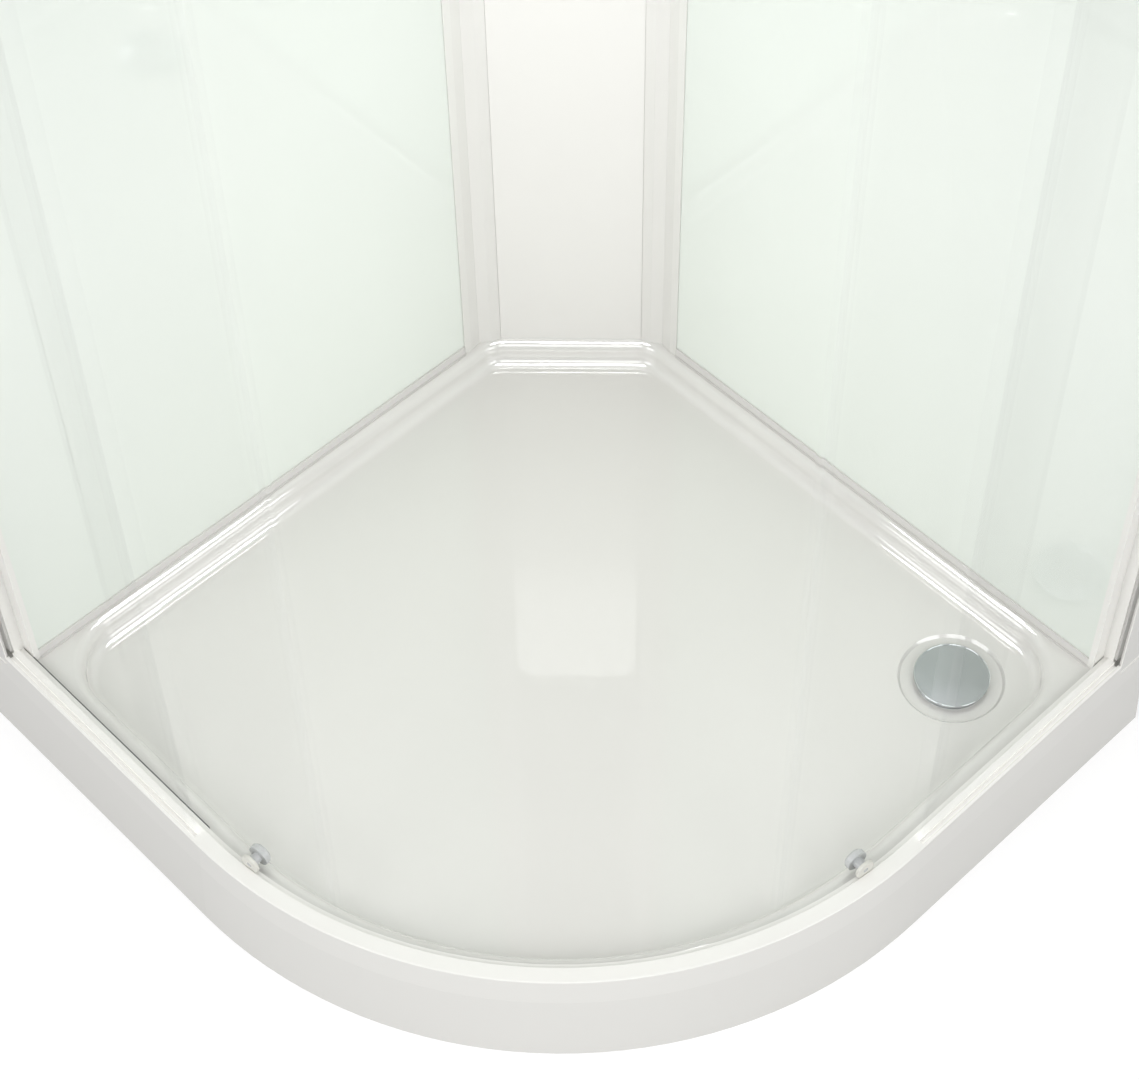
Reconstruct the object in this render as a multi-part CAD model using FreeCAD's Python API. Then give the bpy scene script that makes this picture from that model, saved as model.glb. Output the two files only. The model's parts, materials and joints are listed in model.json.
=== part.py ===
import FreeCAD, Part
import math
import os

# Quadrant shower enclosure, 900 x 900 mm, on a low acrylic tray, in millimetres.
# +Z is up and z = 0 is the floor. The room corner is at (-450, +450): the left wall is the
# plane x = -450, the right wall is the plane y = +450, and the round front faces +X and -Y.
# A "wall inset" is a distance from a wall plane, a "front inset" one from the front outline.

V = FreeCAD.Vector
UP = V(0, 0, 1)

# ---- plan ----
PLAN_SIDE = 900.0
BEND_RADIUS = 528.0
HALF = PLAN_SIDE / 2
STRAIGHT = PLAN_SIDE - BEND_RADIUS
CENTRE = V(-HALF + STRAIGHT, HALF - STRAIGHT, 0)

# ---- heights ----
TOTAL_HEIGHT = 2150.0
RIM_HEIGHT = 121.0
BOTTOM_RAIL_HEIGHT = 11.5
TOP_RAIL_HEIGHT = 45.0
RAIL_SKIRT_DROP = 25.0
BOTTOM_RAIL_TOP = RIM_HEIGHT + BOTTOM_RAIL_HEIGHT
SKIRT_BOTTOM = RIM_HEIGHT - RAIL_SKIRT_DROP
TOP_RAIL_BOTTOM = TOTAL_HEIGHT - TOP_RAIL_HEIGHT

# ---- tray ----
SHEET = 5.0
RECESS_DEPTH = 29.0
LIP_RADIUS = 11.5
COVE_RADIUS = 11.5
WALL_CREST = 62.4
FRONT_CREST = 44.1
FRONT_CREST_STEP = 62.6
FRONT_CREST_RADIUS = BEND_RADIUS - FRONT_CREST_STEP
CORNER_CREST = 184.9
SIDE_CORNER_RADIUS = 70.0
BACK_CORNER_RADIUS = 31.7
SKIRT_SHEET = 3.8
FLOOR_HEIGHT = RIM_HEIGHT - RECESS_DEPTH
BOARD_THICKNESS = 12.0
BOARD_WALL_INSET = 95.0
BOARD_FRONT_INSET = 86.0
BEARER_SIZE = 30.0
BEARER_WALL = 2.0

# ---- front apron ----
APRON_SHEET = 3.0
APRON_FLANGE = 20.0
APRON_TOP = SKIRT_BOTTOM
BRACKET_LENGTH = 30.0
BRACKET_HEIGHT = 18.0
BRACKET_SHEET = 2.0

# ---- feet ----
PAD_RADIUS = 25.0
PAD_HEIGHT = 8.0
STUD_RADIUS = 5.0
STUD_CLEARANCE = 0.3
NUT_ACROSS_FLATS = 17.0
NUT_HEIGHT = 8.0

# ---- rails and front glass ----
RAIL_OUTER = 10.6
RAIL_WIDTH = 17.3
RAIL_INNER = RAIL_OUTER + RAIL_WIDTH
RAIL_ROUND = 1.6
SKIRT_LEAN = 2.9
APRON_LEAN = RAIL_OUTER - SKIRT_LEAN
LEDGE_WIDTH = 5.5
LEDGE_THICKNESS = 3.0
LIP_THICKNESS = 1.3
LIP_HEIGHT = 2.0
LIP_SETBACK = 0.2
LOWER_LEDGE_TOP = BOTTOM_RAIL_TOP - 4.0
UPPER_LEDGE_TOP = TOP_RAIL_BOTTOM + 6.0
GLASS = 5.0
GLASS_PLAY = 0.4
FIXED_GLASS_INSET = 14.6
FIXED_GLASS_END = STRAIGHT - 12.0
LOWER_GROOVE_DEPTH = 6.0
UPPER_GROOVE_DEPTH = 12.0
DOOR_SETBACK = 8.1
DOOR_OUTER_RADIUS = BEND_RADIUS - RAIL_INNER - DOOR_SETBACK
DOOR_INNER_RADIUS = DOOR_OUTER_RADIUS - GLASS
DOOR_BOTTOM = RIM_HEIGHT + 4.0
DOOR_TOP = TOTAL_HEIGHT - 13.0

# ---- doors: angles about the bend centre, measured in the closed position ----
MEETING_ANGLE = -45.0
DOOR_EDGE_ANGLE = -45.8
DOOR_TRAILING_ANGLE = -93.0
OPENING_ANGLE = 26.0
UPPER_ROLLER_ANGLES = (-51.0, -67.0)
LOWER_ROLLER_ANGLE = -57.5
KNOB_ANGLE = -49.5
KNOB_HEIGHT = 1350.0

# ---- rollers ----
WHEEL_RADIUS = 11.0
WHEEL_WIDTH = 4.0
WHEEL_GAP = 0.5
RUNNING_GAP = 0.3
AXLE_RADIUS = 3.0
AXLE_CLEARANCE = 0.05
SHANK_RADIUS = 6.0
HOLE_CLEARANCE = 0.2
CAP_RADIUS = 9.0
CAP_LENGTH = 6.5
HOUSING_RADIUS = 12.0
HOUSING_LENGTH = 8.5
BUTTON_RADIUS = 5.0
BUTTON_CLEARANCE = 0.1
BUTTON_TRAVEL = 2.5
BUTTON_LENGTH = 6.0

# ---- rear walls, posts and column ----
REAR_GLASS_FRONT = 60.2
STRIP_SHEET = 2.0
STRIP_PLAY = 0.2
STRIP_HEIGHT = 12.5
STRIP_BASE = 3.0
POST_DEPTH = 45.0
POST_INNER = 34.5
POST_SHEET = 1.5
POST_WALL_SHEET = 2.5
POST_SLOT_END = 22.0
POST_SLOT_BOTTOM = 28.0
POST_CHANNEL = 7.0
POST_WALL_FLANGE = 74.0
FIXING_INSET = 64.0
FIXING_END_INSET = 164.5
FIXING_MIDDLE = (RIM_HEIGHT + TOTAL_HEIGHT) / 2
FIXING_HOLE_RADIUS = 2.6
FIXING_SPACING = FIXING_MIDDLE - RIM_HEIGHT - FIXING_END_INSET
COLUMN_PANEL_FRONT = 184.9
COLUMN_PANEL_HALF = 88.0
COLUMN_SHEET = 4.0
COVER_HEIGHT = 647.0
COVER_RELIEF = 1.2
COVER_SETBACK = 5.0
COVER_ROUND = 29.0
COLUMN_WING = 122.8

# ---- waste ----
DRAIN_FRONT_INSET = 144.0
DRAIN_WALL_INSET = 161.0
DRAIN_X = HALF - DRAIN_FRONT_INSET
DRAIN_Y = HALF - DRAIN_WALL_INSET
DISH_RADIUS = 58.5
DISH_DEPTH = 3.0
DRAIN_HOLE_RADIUS = 30.0
FLANGE_RADIUS = 39.0
FLANGE_THICKNESS = 2.0
COVER_RADIUS = 41.0
COVER_EDGE = 3.0
COVER_CROWN = 3.5
COVER_SEAT_GAP = 0.3
COVER_RIB_HEIGHT = 3.0
COVER_RIB_WIDTH = 3.0
TRAP_RADIUS = 48.0
TRAP_DEPTH = 72.0
TRAP_WALL = 3.0
OUTLET_RADIUS = 20.0
OUTLET_WALL = 2.0
OUTLET_HEIGHT = 56.0
OUTLET_REACH = 151.0
OUTLET_COLLAR_RADIUS = 25.0
OUTLET_COLLAR_END = 54.0

EPSILON_CUT = 1.0

written = []


# ---------------------------------------------------------------- helpers
def rounded_wire(points, radii):
    """A closed wire through points, with a tangent arc of the given radius at each corner."""
    count = len(points)
    starts = []
    ends = []
    middles = []
    for index in range(count):
        corner = points[index]
        back = (points[index - 1] - corner).normalize()
        ahead = (points[(index + 1) % count] - corner).normalize()
        radius = radii[index]
        half_angle = back.getAngle(ahead) / 2
        reach = radius / math.tan(half_angle) if radius else 0.0
        starts.append(corner + back * reach)
        ends.append(corner + ahead * reach)
        bisector = (back + ahead).normalize() if radius else V(0, 0, 0)
        middles.append(corner + bisector * (radius / math.sin(half_angle) - radius) if radius else corner)
    edges = []
    for index in range(count):
        if radii[index]:
            edges.append(Part.Arc(starts[index], middles[index], ends[index]).toShape())
        following = starts[(index + 1) % count]
        if (following - ends[index]).Length > 1e-6:
            edges.append(Part.LineSegment(ends[index], following).toShape())
    return Part.Wire(edges)


def rounded_face(points, radii=None):
    return Part.Face(rounded_wire(points, radii or [0] * len(points)))


def block(low, high):
    return Part.makeBox(high[0] - low[0], high[1] - low[1], high[2] - low[2], V(*low))


def across_diagonal(shape):
    """The right-hand copy of a left-hand piece: the mirror plane runs through the room corner."""
    return shape.mirror(V(0, 0, 0), V(1, 1, 0).normalize())


def turned(shape, angle):
    """A shape turned about the upright axis of the bend."""
    copy = shape.copy()
    copy.rotate(CENTRE, UP, angle)
    return copy


def fused(shapes):
    return shapes[0].multiFuse(shapes[1:]).removeSplitter()


def left_section(section, rounds, x):
    points = [V(x, -HALF + inset, height) for inset, height in section]
    return rounded_face(points, rounds)


def front_sweep(section, rounds=None, start=0.0):
    """A section of (front inset, height) points carried along straight, bend and straight."""
    left = left_section(section, rounds, -HALF + start).extrude(V(STRAIGHT - start, 0, 0))
    bend = left_section(section, rounds, CENTRE.x).revolve(CENTRE, UP, 90)
    return fused([left, bend, across_diagonal(left)])


def left_sweep(section, start, end, rounds=None):
    """A section of (front inset, height) points along the left straight only."""
    return left_section(section, rounds, -HALF + start).extrude(V(end - start, 0, 0))


def plan_face(wall_inset, front_inset, height):
    """The tray's plan: two walls, two straights and the bend, drawn in by the two insets."""
    west = -HALF + wall_inset
    north = HALF - wall_inset
    south = -HALF + front_inset
    east = HALF - front_inset
    radius = BEND_RADIUS - front_inset
    middle = CENTRE + V(radius, -radius, 0) * math.sqrt(0.5)
    corner = [V(west, north, 0), V(west, south, 0), V(CENTRE.x, south, 0)]
    far = [V(east, CENTRE.y, 0), V(east, north, 0)]
    edges = [
        Part.LineSegment(corner[0], corner[1]).toShape(),
        Part.LineSegment(corner[1], corner[2]).toShape(),
        Part.Arc(corner[2], middle, far[0]).toShape(),
        Part.LineSegment(far[0], far[1]).toShape(),
        Part.LineSegment(far[1], corner[0]).toShape(),
    ]
    face = Part.Face(Part.Wire(edges))
    face.translate(V(0, 0, height))
    return face


def prism(wall_inset, front_inset, bottom, top):
    return plan_face(wall_inset, front_inset, bottom).extrude(V(0, 0, top - bottom))


def corner_point(along, out, height):
    """A point of the corner column: along runs parallel to its face, out leaves the corner."""
    x = -HALF + (out + along) * math.sqrt(0.5)
    y = HALF - (out - along) * math.sqrt(0.5)
    return V(x, y, height)


def recess_block(grow, bottom, top):
    """The tray's recess as a solid; grow moves its side walls outwards."""
    inset = LIP_RADIUS - grow
    west = -HALF + WALL_CREST + inset
    north = HALF - WALL_CREST - inset
    south = -HALF + FRONT_CREST + inset
    east = HALF - FRONT_CREST - inset
    chamfer = (CORNER_CREST + inset) * math.sqrt(2)
    front_radius = FRONT_CREST_RADIUS - inset
    points = [
        V(west, HALF - (chamfer - (west + HALF)), bottom),
        V(west, south, bottom),
        V(east, south, bottom),
        V(east, north, bottom),
        V(-HALF + chamfer - (HALF - north), north, bottom),
    ]
    radii = [
        BACK_CORNER_RADIUS + grow,
        SIDE_CORNER_RADIUS + grow,
        front_radius,
        SIDE_CORNER_RADIUS + grow,
        BACK_CORNER_RADIUS + grow,
    ]
    return rounded_face(points, radii).extrude(V(0, 0, top - bottom))


def turned_profile(points, axis_point, direction):
    """A full revolve of (distance along, radius) points about a line."""
    along = V(direction).normalize()
    side = along.cross(UP)
    if side.Length < 0.5:
        side = V(1, 0, 0)
    corners = [axis_point + along * distance + side * radius for distance, radius in points]
    face = Part.Face(Part.makePolygon(corners + [corners[0]]))
    return face.revolve(axis_point, along, 360)


def drain_point(height):
    return V(DRAIN_X, DRAIN_Y, height)


def radial(angle):
    """The outward level direction at an angle about the bend centre."""
    return V(math.cos(math.radians(angle)), math.sin(math.radians(angle)), 0)


def bend_sector(inner, outer, first_angle, last_angle, bottom, top):
    """A curved wall between two radii and two angles about the bend centre."""
    points = [
        V(CENTRE.x + inner, CENTRE.y, bottom),
        V(CENTRE.x + outer, CENTRE.y, bottom),
        V(CENTRE.x + outer, CENTRE.y, top),
        V(CENTRE.x + inner, CENTRE.y, top),
    ]
    face = Part.Face(Part.makePolygon(points + [points[0]]))
    return turned(face.revolve(CENTRE, UP, last_angle - first_angle), first_angle)


def save(name, shape):
    solids = shape.Solids
    assert solids and all(solid.isValid() and solid.Volume > 0 for solid in solids), name
    solid_group = solids[0] if len(solids) == 1 else Part.makeCompound(solids)
    solid_group.exportStep("parts/" + name + ".step")
    written.append(name)


def save_pair(name, left_shape):
    save(name + "_left", left_shape)
    save(name + "_right", across_diagonal(left_shape))


# ---------------------------------------------------------------- tray and its support
def fillet_at_height(shape, height, radius, inset):
    """Round the closed loop of level edges at one height that lies inside the given inset."""
    edges = []
    for edge in shape.Edges:
        box = edge.BoundBox
        level = abs(box.ZMin - height) < 1e-3 and abs(box.ZMax - height) < 1e-3
        inside = box.XMin > -HALF + inset and box.YMax < HALF - inset
        clear_of_drain = math.hypot(box.Center.x - DRAIN_X, box.Center.y - DRAIN_Y) > DISH_RADIUS
        if level and inside and (clear_of_drain or edge.Length > 4 * DISH_RADIUS):
            edges.append(edge)
    return shape.makeFillet(radius, edges)


def tray_shell():
    """Thin acrylic tray: flange, outer skirt and a rounded bowl with its drain dish."""
    edge_inset = APRON_LEAN + SKIRT_SHEET + 0.3
    shell = prism(0, edge_inset, APRON_TOP, RIM_HEIGHT)
    shell = shell.cut(prism(SHEET, edge_inset + SHEET, APRON_TOP - EPSILON_CUT, RIM_HEIGHT - SHEET))
    bowl = recess_block(SHEET, FLOOR_HEIGHT - SHEET, RIM_HEIGHT - SHEET / 2)
    shell = shell.fuse(bowl).removeSplitter()
    cutter = recess_block(0, FLOOR_HEIGHT, RIM_HEIGHT + EPSILON_CUT)
    floor_edges = [edge for edge in cutter.Edges if abs(edge.BoundBox.ZMax - FLOOR_HEIGHT) < 1e-3]
    cutter = cutter.makeFillet(COVE_RADIUS, floor_edges)
    shell = shell.cut(cutter)
    shell = fillet_at_height(shell, RIM_HEIGHT, LIP_RADIUS - 0.01, WALL_CREST + LIP_RADIUS - 1)
    boss = Part.makeCylinder(DISH_RADIUS + 6, SHEET, drain_point(FLOOR_HEIGHT - SHEET - DISH_DEPTH))
    shell = shell.fuse(boss)
    dish_floor = drain_point(FLOOR_HEIGHT - DISH_DEPTH)
    dish = Part.makeCone(DISH_RADIUS - DISH_DEPTH, DISH_RADIUS, DISH_DEPTH, dish_floor)
    hole = Part.makeCylinder(DRAIN_HOLE_RADIUS, 4 * SHEET, drain_point(FLOOR_HEIGHT - 3 * SHEET))
    return shell.cut(dish).cut(hole)


def base_board():
    """Stiffening board bonded under the bowl, cut away around the trap."""
    top = FLOOR_HEIGHT - SHEET
    board = prism(BOARD_WALL_INSET, BOARD_FRONT_INSET, top - BOARD_THICKNESS, top)
    corner = block(
        (DRAIN_X - DISH_RADIUS - 20, DRAIN_Y - DISH_RADIUS - 20, top - BOARD_THICKNESS - EPSILON_CUT),
        (HALF, HALF, top + EPSILON_CUT),
    )
    back = (CORNER_CREST + LIP_RADIUS + COVE_RADIUS) * math.sqrt(2)
    corner_cut = rounded_face([
        V(-HALF, HALF, top - BOARD_THICKNESS - EPSILON_CUT),
        V(-HALF, HALF - back, top - BOARD_THICKNESS - EPSILON_CUT),
        V(-HALF + back, HALF, top - BOARD_THICKNESS - EPSILON_CUT),
    ]).extrude(V(0, 0, BOARD_THICKNESS + 2 * EPSILON_CUT))
    return board.cut(corner).cut(corner_cut)


BEARER_TOP = FLOOR_HEIGHT - SHEET - BOARD_THICKNESS
BEARER_BOTTOM = BEARER_TOP - BEARER_SIZE
BEARER_WALL_INSET = 100.0
FOOT_INSET = 32.0
REAR_BEARER_INSET = 142.0
REAR_BEARER_START = 180.0
BEARER_TO_TRAP = 58.0
MIDDLE_BEARER_OFFSET = 58.0
FRONT_BEARER_INSET = 182.0
FRONT_BEARER_END = 255.0
MIDDLE_FIRST = -HALF + BEARER_WALL_INSET
MIDDLE_LAST = HALF - BEARER_WALL_INSET
REAR_FIRST = -HALF + REAR_BEARER_START
REAR_LAST = DRAIN_X - TRAP_RADIUS - BEARER_TO_TRAP
FRONT_LAST = HALF - FRONT_BEARER_END
# name, y of the tube, first x, last x, x of each foot
BEARERS = (
    (
        "support_bearer_rear",
        HALF - REAR_BEARER_INSET,
        REAR_FIRST,
        REAR_LAST,
        (REAR_FIRST + FOOT_INSET, REAR_LAST - FOOT_INSET),
    ),
    (
        "support_bearer_middle",
        CENTRE.y - MIDDLE_BEARER_OFFSET,
        MIDDLE_FIRST,
        MIDDLE_LAST,
        (MIDDLE_FIRST + FOOT_INSET, 0.0, MIDDLE_LAST - FOOT_INSET),
    ),
    (
        "support_bearer_front",
        -HALF + FRONT_BEARER_INSET,
        MIDDLE_FIRST,
        FRONT_LAST,
        (MIDDLE_FIRST + FOOT_INSET, FRONT_LAST - FOOT_INSET),
    ),
)


def foot_places():
    return [(x, y) for name, y, first, last, feet in BEARERS for x in feet]


def support_bearer(y, first, last, feet):
    """Square steel tube under the board, drilled for its feet."""
    half = BEARER_SIZE / 2
    tube = block((first, y - half, BEARER_BOTTOM), (last, y + half, BEARER_TOP))
    bore = block(
        (first - EPSILON_CUT, y - half + BEARER_WALL, BEARER_BOTTOM + BEARER_WALL),
        (last + EPSILON_CUT, y + half - BEARER_WALL, BEARER_TOP - BEARER_WALL),
    )
    tube = tube.cut(bore)
    for x in feet:
        place = V(x, y, BEARER_BOTTOM - EPSILON_CUT)
        tube = tube.cut(Part.makeCylinder(STUD_RADIUS + STUD_CLEARANCE, BEARER_SIZE / 2, place))
    return tube


def hexagon(x, y, bottom, height, across_flats, hole_radius):
    corner_radius = across_flats / math.sqrt(3)
    points = []
    for step in range(6):
        angle = math.radians(60 * step)
        points.append(V(x + corner_radius * math.cos(angle), y + corner_radius * math.sin(angle), bottom))
    nut = rounded_face(points).extrude(V(0, 0, height))
    return nut.cut(Part.makeCylinder(hole_radius, height + 2, V(x, y, bottom - 1)))


def feet():
    """Screw feet: pads on the floor, studs up into the tubes and a nut under each tube."""
    pads = []
    studs = []
    nuts = []
    for x, y in foot_places():
        pad = Part.makeCone(PAD_RADIUS, PAD_RADIUS * 0.6, PAD_HEIGHT, V(x, y, 0))
        pads.append(pad)
        studs.append(Part.makeCylinder(STUD_RADIUS, BEARER_BOTTOM + 10 - PAD_HEIGHT, V(x, y, PAD_HEIGHT)))
        nuts.append(hexagon(x, y, BEARER_BOTTOM - NUT_HEIGHT, NUT_HEIGHT, NUT_ACROSS_FLATS, STUD_RADIUS))
    save("feet_pads", Part.makeCompound(pads))
    save("feet_studs", Part.makeCompound(studs))
    save("feet_nuts", Part.makeCompound(nuts))


def apron():
    """Removable front panel: leaning face with a flange that carries the tray's skirt."""
    flange_end = APRON_LEAN + APRON_FLANGE
    section = [
        (0, 0),
        (APRON_LEAN, APRON_TOP),
        (flange_end, APRON_TOP),
        (flange_end, APRON_TOP - APRON_SHEET),
        (APRON_LEAN + APRON_SHEET, APRON_TOP - APRON_SHEET),
        (APRON_SHEET, 0),
    ]
    return front_sweep(section)


def apron_brackets():
    """Angle brackets on the apron's flange, screwed to the inside of the tray's skirt."""
    inner = APRON_LEAN + SKIRT_SHEET + 0.3 + SHEET
    section = [
        (inner, APRON_TOP),
        (APRON_LEAN + APRON_FLANGE, APRON_TOP),
        (APRON_LEAN + APRON_FLANGE, APRON_TOP + BRACKET_SHEET),
        (inner + BRACKET_SHEET, APRON_TOP + BRACKET_SHEET),
        (inner + BRACKET_SHEET, APRON_TOP + BRACKET_HEIGHT),
        (inner, APRON_TOP + BRACKET_HEIGHT),
    ]
    shapes = []
    for start in (60.0, STRAIGHT - 80.0):
        bracket = left_sweep(section, start, start + BRACKET_LENGTH)
        shapes += [bracket, across_diagonal(bracket)]
    return Part.makeCompound(shapes)


# ---------------------------------------------------------------- rails
GROOVE_START = FIXED_GLASS_INSET - GLASS_PLAY
GROOVE_END = FIXED_GLASS_INSET + GLASS + GLASS_PLAY


def bottom_rail():
    """Lower rail: sits on the flange, its skirt covers the tray's edge, ledge for the rollers."""
    skirt_in = APRON_LEAN + SKIRT_SHEET
    hollow_top = RIM_HEIGHT + 3.5
    section = [
        (APRON_LEAN, SKIRT_BOTTOM),
        (RAIL_OUTER, BOTTOM_RAIL_TOP),
        (RAIL_INNER, BOTTOM_RAIL_TOP),
        (RAIL_INNER, LOWER_LEDGE_TOP),
        (RAIL_INNER + LEDGE_WIDTH, LOWER_LEDGE_TOP),
        (RAIL_INNER + LEDGE_WIDTH, LOWER_LEDGE_TOP - LEDGE_THICKNESS),
        (RAIL_INNER, LOWER_LEDGE_TOP - LEDGE_THICKNESS),
        (RAIL_INNER, RIM_HEIGHT),
        (RAIL_INNER - 2, RIM_HEIGHT),
        (RAIL_INNER - 2, hollow_top),
        (skirt_in + 4, hollow_top),
        (skirt_in + 4, RIM_HEIGHT),
        (skirt_in, RIM_HEIGHT),
        (skirt_in, SKIRT_BOTTOM),
    ]
    rounds = [0, RAIL_ROUND, 0.6] + [0] * 11
    rail = front_sweep(section, rounds, POST_DEPTH)
    groove = left_sweep(
        [
            (GROOVE_START, BOTTOM_RAIL_TOP + EPSILON_CUT),
            (GROOVE_END, BOTTOM_RAIL_TOP + EPSILON_CUT),
            (GROOVE_END, BOTTOM_RAIL_TOP - LOWER_GROOVE_DEPTH),
            (GROOVE_START, BOTTOM_RAIL_TOP - LOWER_GROOVE_DEPTH),
        ],
        POST_DEPTH - EPSILON_CUT,
        FIXED_GLASS_END + GLASS_PLAY,
    )
    return rail.cut(groove).cut(across_diagonal(groove))


CHAMBER_WALL = 2.5
CHAMBER_BOTTOM = TOP_RAIL_BOTTOM + UPPER_GROOVE_DEPTH + 3.0


def top_rail():
    """Upper rail: hollow box with the glass groove below and the lipped roller ledge inside."""
    ledge_end = RAIL_INNER + LEDGE_WIDTH + LIP_SETBACK
    section = [
        (RAIL_OUTER, TOP_RAIL_BOTTOM),
        (RAIL_OUTER, TOTAL_HEIGHT),
        (RAIL_INNER, TOTAL_HEIGHT),
        (RAIL_INNER, UPPER_LEDGE_TOP),
        (ledge_end, UPPER_LEDGE_TOP),
        (ledge_end, UPPER_LEDGE_TOP + LIP_HEIGHT),
        (ledge_end + LIP_THICKNESS, UPPER_LEDGE_TOP + LIP_HEIGHT),
        (ledge_end + LIP_THICKNESS, UPPER_LEDGE_TOP - LEDGE_THICKNESS),
        (RAIL_INNER, UPPER_LEDGE_TOP - LEDGE_THICKNESS),
        (RAIL_INNER, TOP_RAIL_BOTTOM),
    ]
    rounds = [RAIL_ROUND, RAIL_ROUND, 0.6] + [0] * 7
    rail = front_sweep(section, rounds, POST_DEPTH)
    chamber = front_sweep(
        [
            (RAIL_OUTER + CHAMBER_WALL, CHAMBER_BOTTOM),
            (RAIL_OUTER + CHAMBER_WALL, TOTAL_HEIGHT - CHAMBER_WALL),
            (RAIL_INNER - CHAMBER_WALL, TOTAL_HEIGHT - CHAMBER_WALL),
            (RAIL_INNER - CHAMBER_WALL, CHAMBER_BOTTOM),
        ],
        None,
        POST_DEPTH - EPSILON_CUT,
    )
    groove = left_sweep(
        [
            (GROOVE_START, TOP_RAIL_BOTTOM - EPSILON_CUT),
            (GROOVE_END, TOP_RAIL_BOTTOM - EPSILON_CUT),
            (GROOVE_END, TOP_RAIL_BOTTOM + UPPER_GROOVE_DEPTH),
            (GROOVE_START, TOP_RAIL_BOTTOM + UPPER_GROOVE_DEPTH),
        ],
        POST_DEPTH - EPSILON_CUT,
        FIXED_GLASS_END + GLASS_PLAY,
    )
    notch = left_sweep(
        [
            (RAIL_INNER, TOP_RAIL_BOTTOM - EPSILON_CUT),
            (ledge_end + 2 * LIP_THICKNESS, TOP_RAIL_BOTTOM - EPSILON_CUT),
            (ledge_end + 2 * LIP_THICKNESS, TOTAL_HEIGHT - EPSILON_CUT),
            (RAIL_INNER, TOTAL_HEIGHT - EPSILON_CUT),
        ],
        POST_DEPTH - EPSILON_CUT,
        STRIP_FRONT + 0.5,
    )
    for cutter in (chamber, groove, across_diagonal(groove), notch, across_diagonal(notch)):
        rail = rail.cut(cutter)
    return rail


def rail_end_block():
    """Nylon block in the end of the upper rail, held by a screw through the post."""
    play = 0.2
    return left_sweep(
        [
            (RAIL_OUTER + CHAMBER_WALL + play, CHAMBER_BOTTOM + play),
            (RAIL_OUTER + CHAMBER_WALL + play, TOTAL_HEIGHT - CHAMBER_WALL - play),
            (RAIL_INNER - CHAMBER_WALL - play, TOTAL_HEIGHT - CHAMBER_WALL - play),
            (RAIL_INNER - CHAMBER_WALL - play, CHAMBER_BOTTOM + play),
        ],
        POST_DEPTH,
        POST_DEPTH + 20,
    )


def rail_gasket():
    """Thin dark strip along the inner edge of the lower rail, beside the left fixed pane."""
    inner = RAIL_INNER + LEDGE_WIDTH
    return left_sweep(
        [
            (inner, LOWER_LEDGE_TOP + 0.6),
            (inner + 1.2, LOWER_LEDGE_TOP + 0.6),
            (inner + 1.2, LOWER_LEDGE_TOP - LEDGE_THICKNESS),
            (inner, LOWER_LEDGE_TOP - LEDGE_THICKNESS),
        ],
        STRIP_FRONT + 0.5,
        FIXED_GLASS_END,
    )


def track_stop():
    """Rubber block on the upper ledge that the rear roller meets when the door is open."""
    open_angle = math.radians(UPPER_ROLLER_ANGLES[1] - OPENING_ANGLE)
    wheel_x = CENTRE.x + WHEEL_OUTER * math.cos(open_angle)
    near_end = wheel_x + HALF - WHEEL_RADIUS - 1.5
    return left_sweep(
        [
            (RAIL_INNER, UPPER_LEDGE_TOP),
            (RAIL_INNER + LEDGE_WIDTH - 1, UPPER_LEDGE_TOP),
            (RAIL_INNER + LEDGE_WIDTH - 1, UPPER_LEDGE_TOP + 2 * WHEEL_RADIUS),
            (RAIL_INNER, UPPER_LEDGE_TOP + 2 * WHEEL_RADIUS),
        ],
        near_end - 14,
        near_end,
        [0, 0, 2, 0],
    )


# ---------------------------------------------------------------- fixed panes
def fixed_glass():
    """Flat pane between post and door, held in the post's and the rails' grooves."""
    bottom = BOTTOM_RAIL_TOP - LOWER_GROOVE_DEPTH + STRIP_PLAY
    top = TOP_RAIL_BOTTOM + UPPER_GROOVE_DEPTH - 4
    return left_sweep(
        [
            (FIXED_GLASS_INSET, bottom),
            (FIXED_GLASS_INSET + GLASS, bottom),
            (FIXED_GLASS_INSET + GLASS, top),
            (FIXED_GLASS_INSET, top),
        ],
        POST_SLOT_BOTTOM + POST_SHEET + STRIP_PLAY,
        FIXED_GLASS_END,
    )


SEAL_SHEET = 1.0
SEAL_GRIP = 8.0
FIN_REACH = 14.9


def fixed_glass_seal():
    """Clear seal on the free edge of the fixed pane, with a fin towards the door."""
    bottom = BOTTOM_RAIL_TOP + 0.5
    outer = FIXED_GLASS_INSET - STRIP_PLAY - SEAL_SHEET
    inner = FIXED_GLASS_INSET + GLASS + STRIP_PLAY + SEAL_SHEET
    start = FIXED_GLASS_END - SEAL_GRIP
    end = FIXED_GLASS_END + STRIP_PLAY + SEAL_SHEET
    top = TOP_RAIL_BOTTOM - 0.5
    channel = left_sweep([(outer, bottom), (inner, bottom), (inner, top), (outer, top)], start, end)
    slot = left_sweep(
        [
            (outer + SEAL_SHEET, bottom - 1),
            (inner - SEAL_SHEET, bottom - 1),
            (inner - SEAL_SHEET, TOP_RAIL_BOTTOM),
            (outer + SEAL_SHEET, TOP_RAIL_BOTTOM),
        ],
        start - 1,
        end - SEAL_SHEET,
    )
    fin_bottom = LOWER_LEDGE_TOP + 3 * WHEEL_RADIUS
    fin = left_sweep(
        [
            (inner, fin_bottom),
            (inner + FIN_REACH, fin_bottom),
            (inner + FIN_REACH, top),
            (inner, top),
        ],
        end - 1.5 * SEAL_SHEET,
        end,
    )
    return fused([channel.cut(slot), fin])


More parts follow.
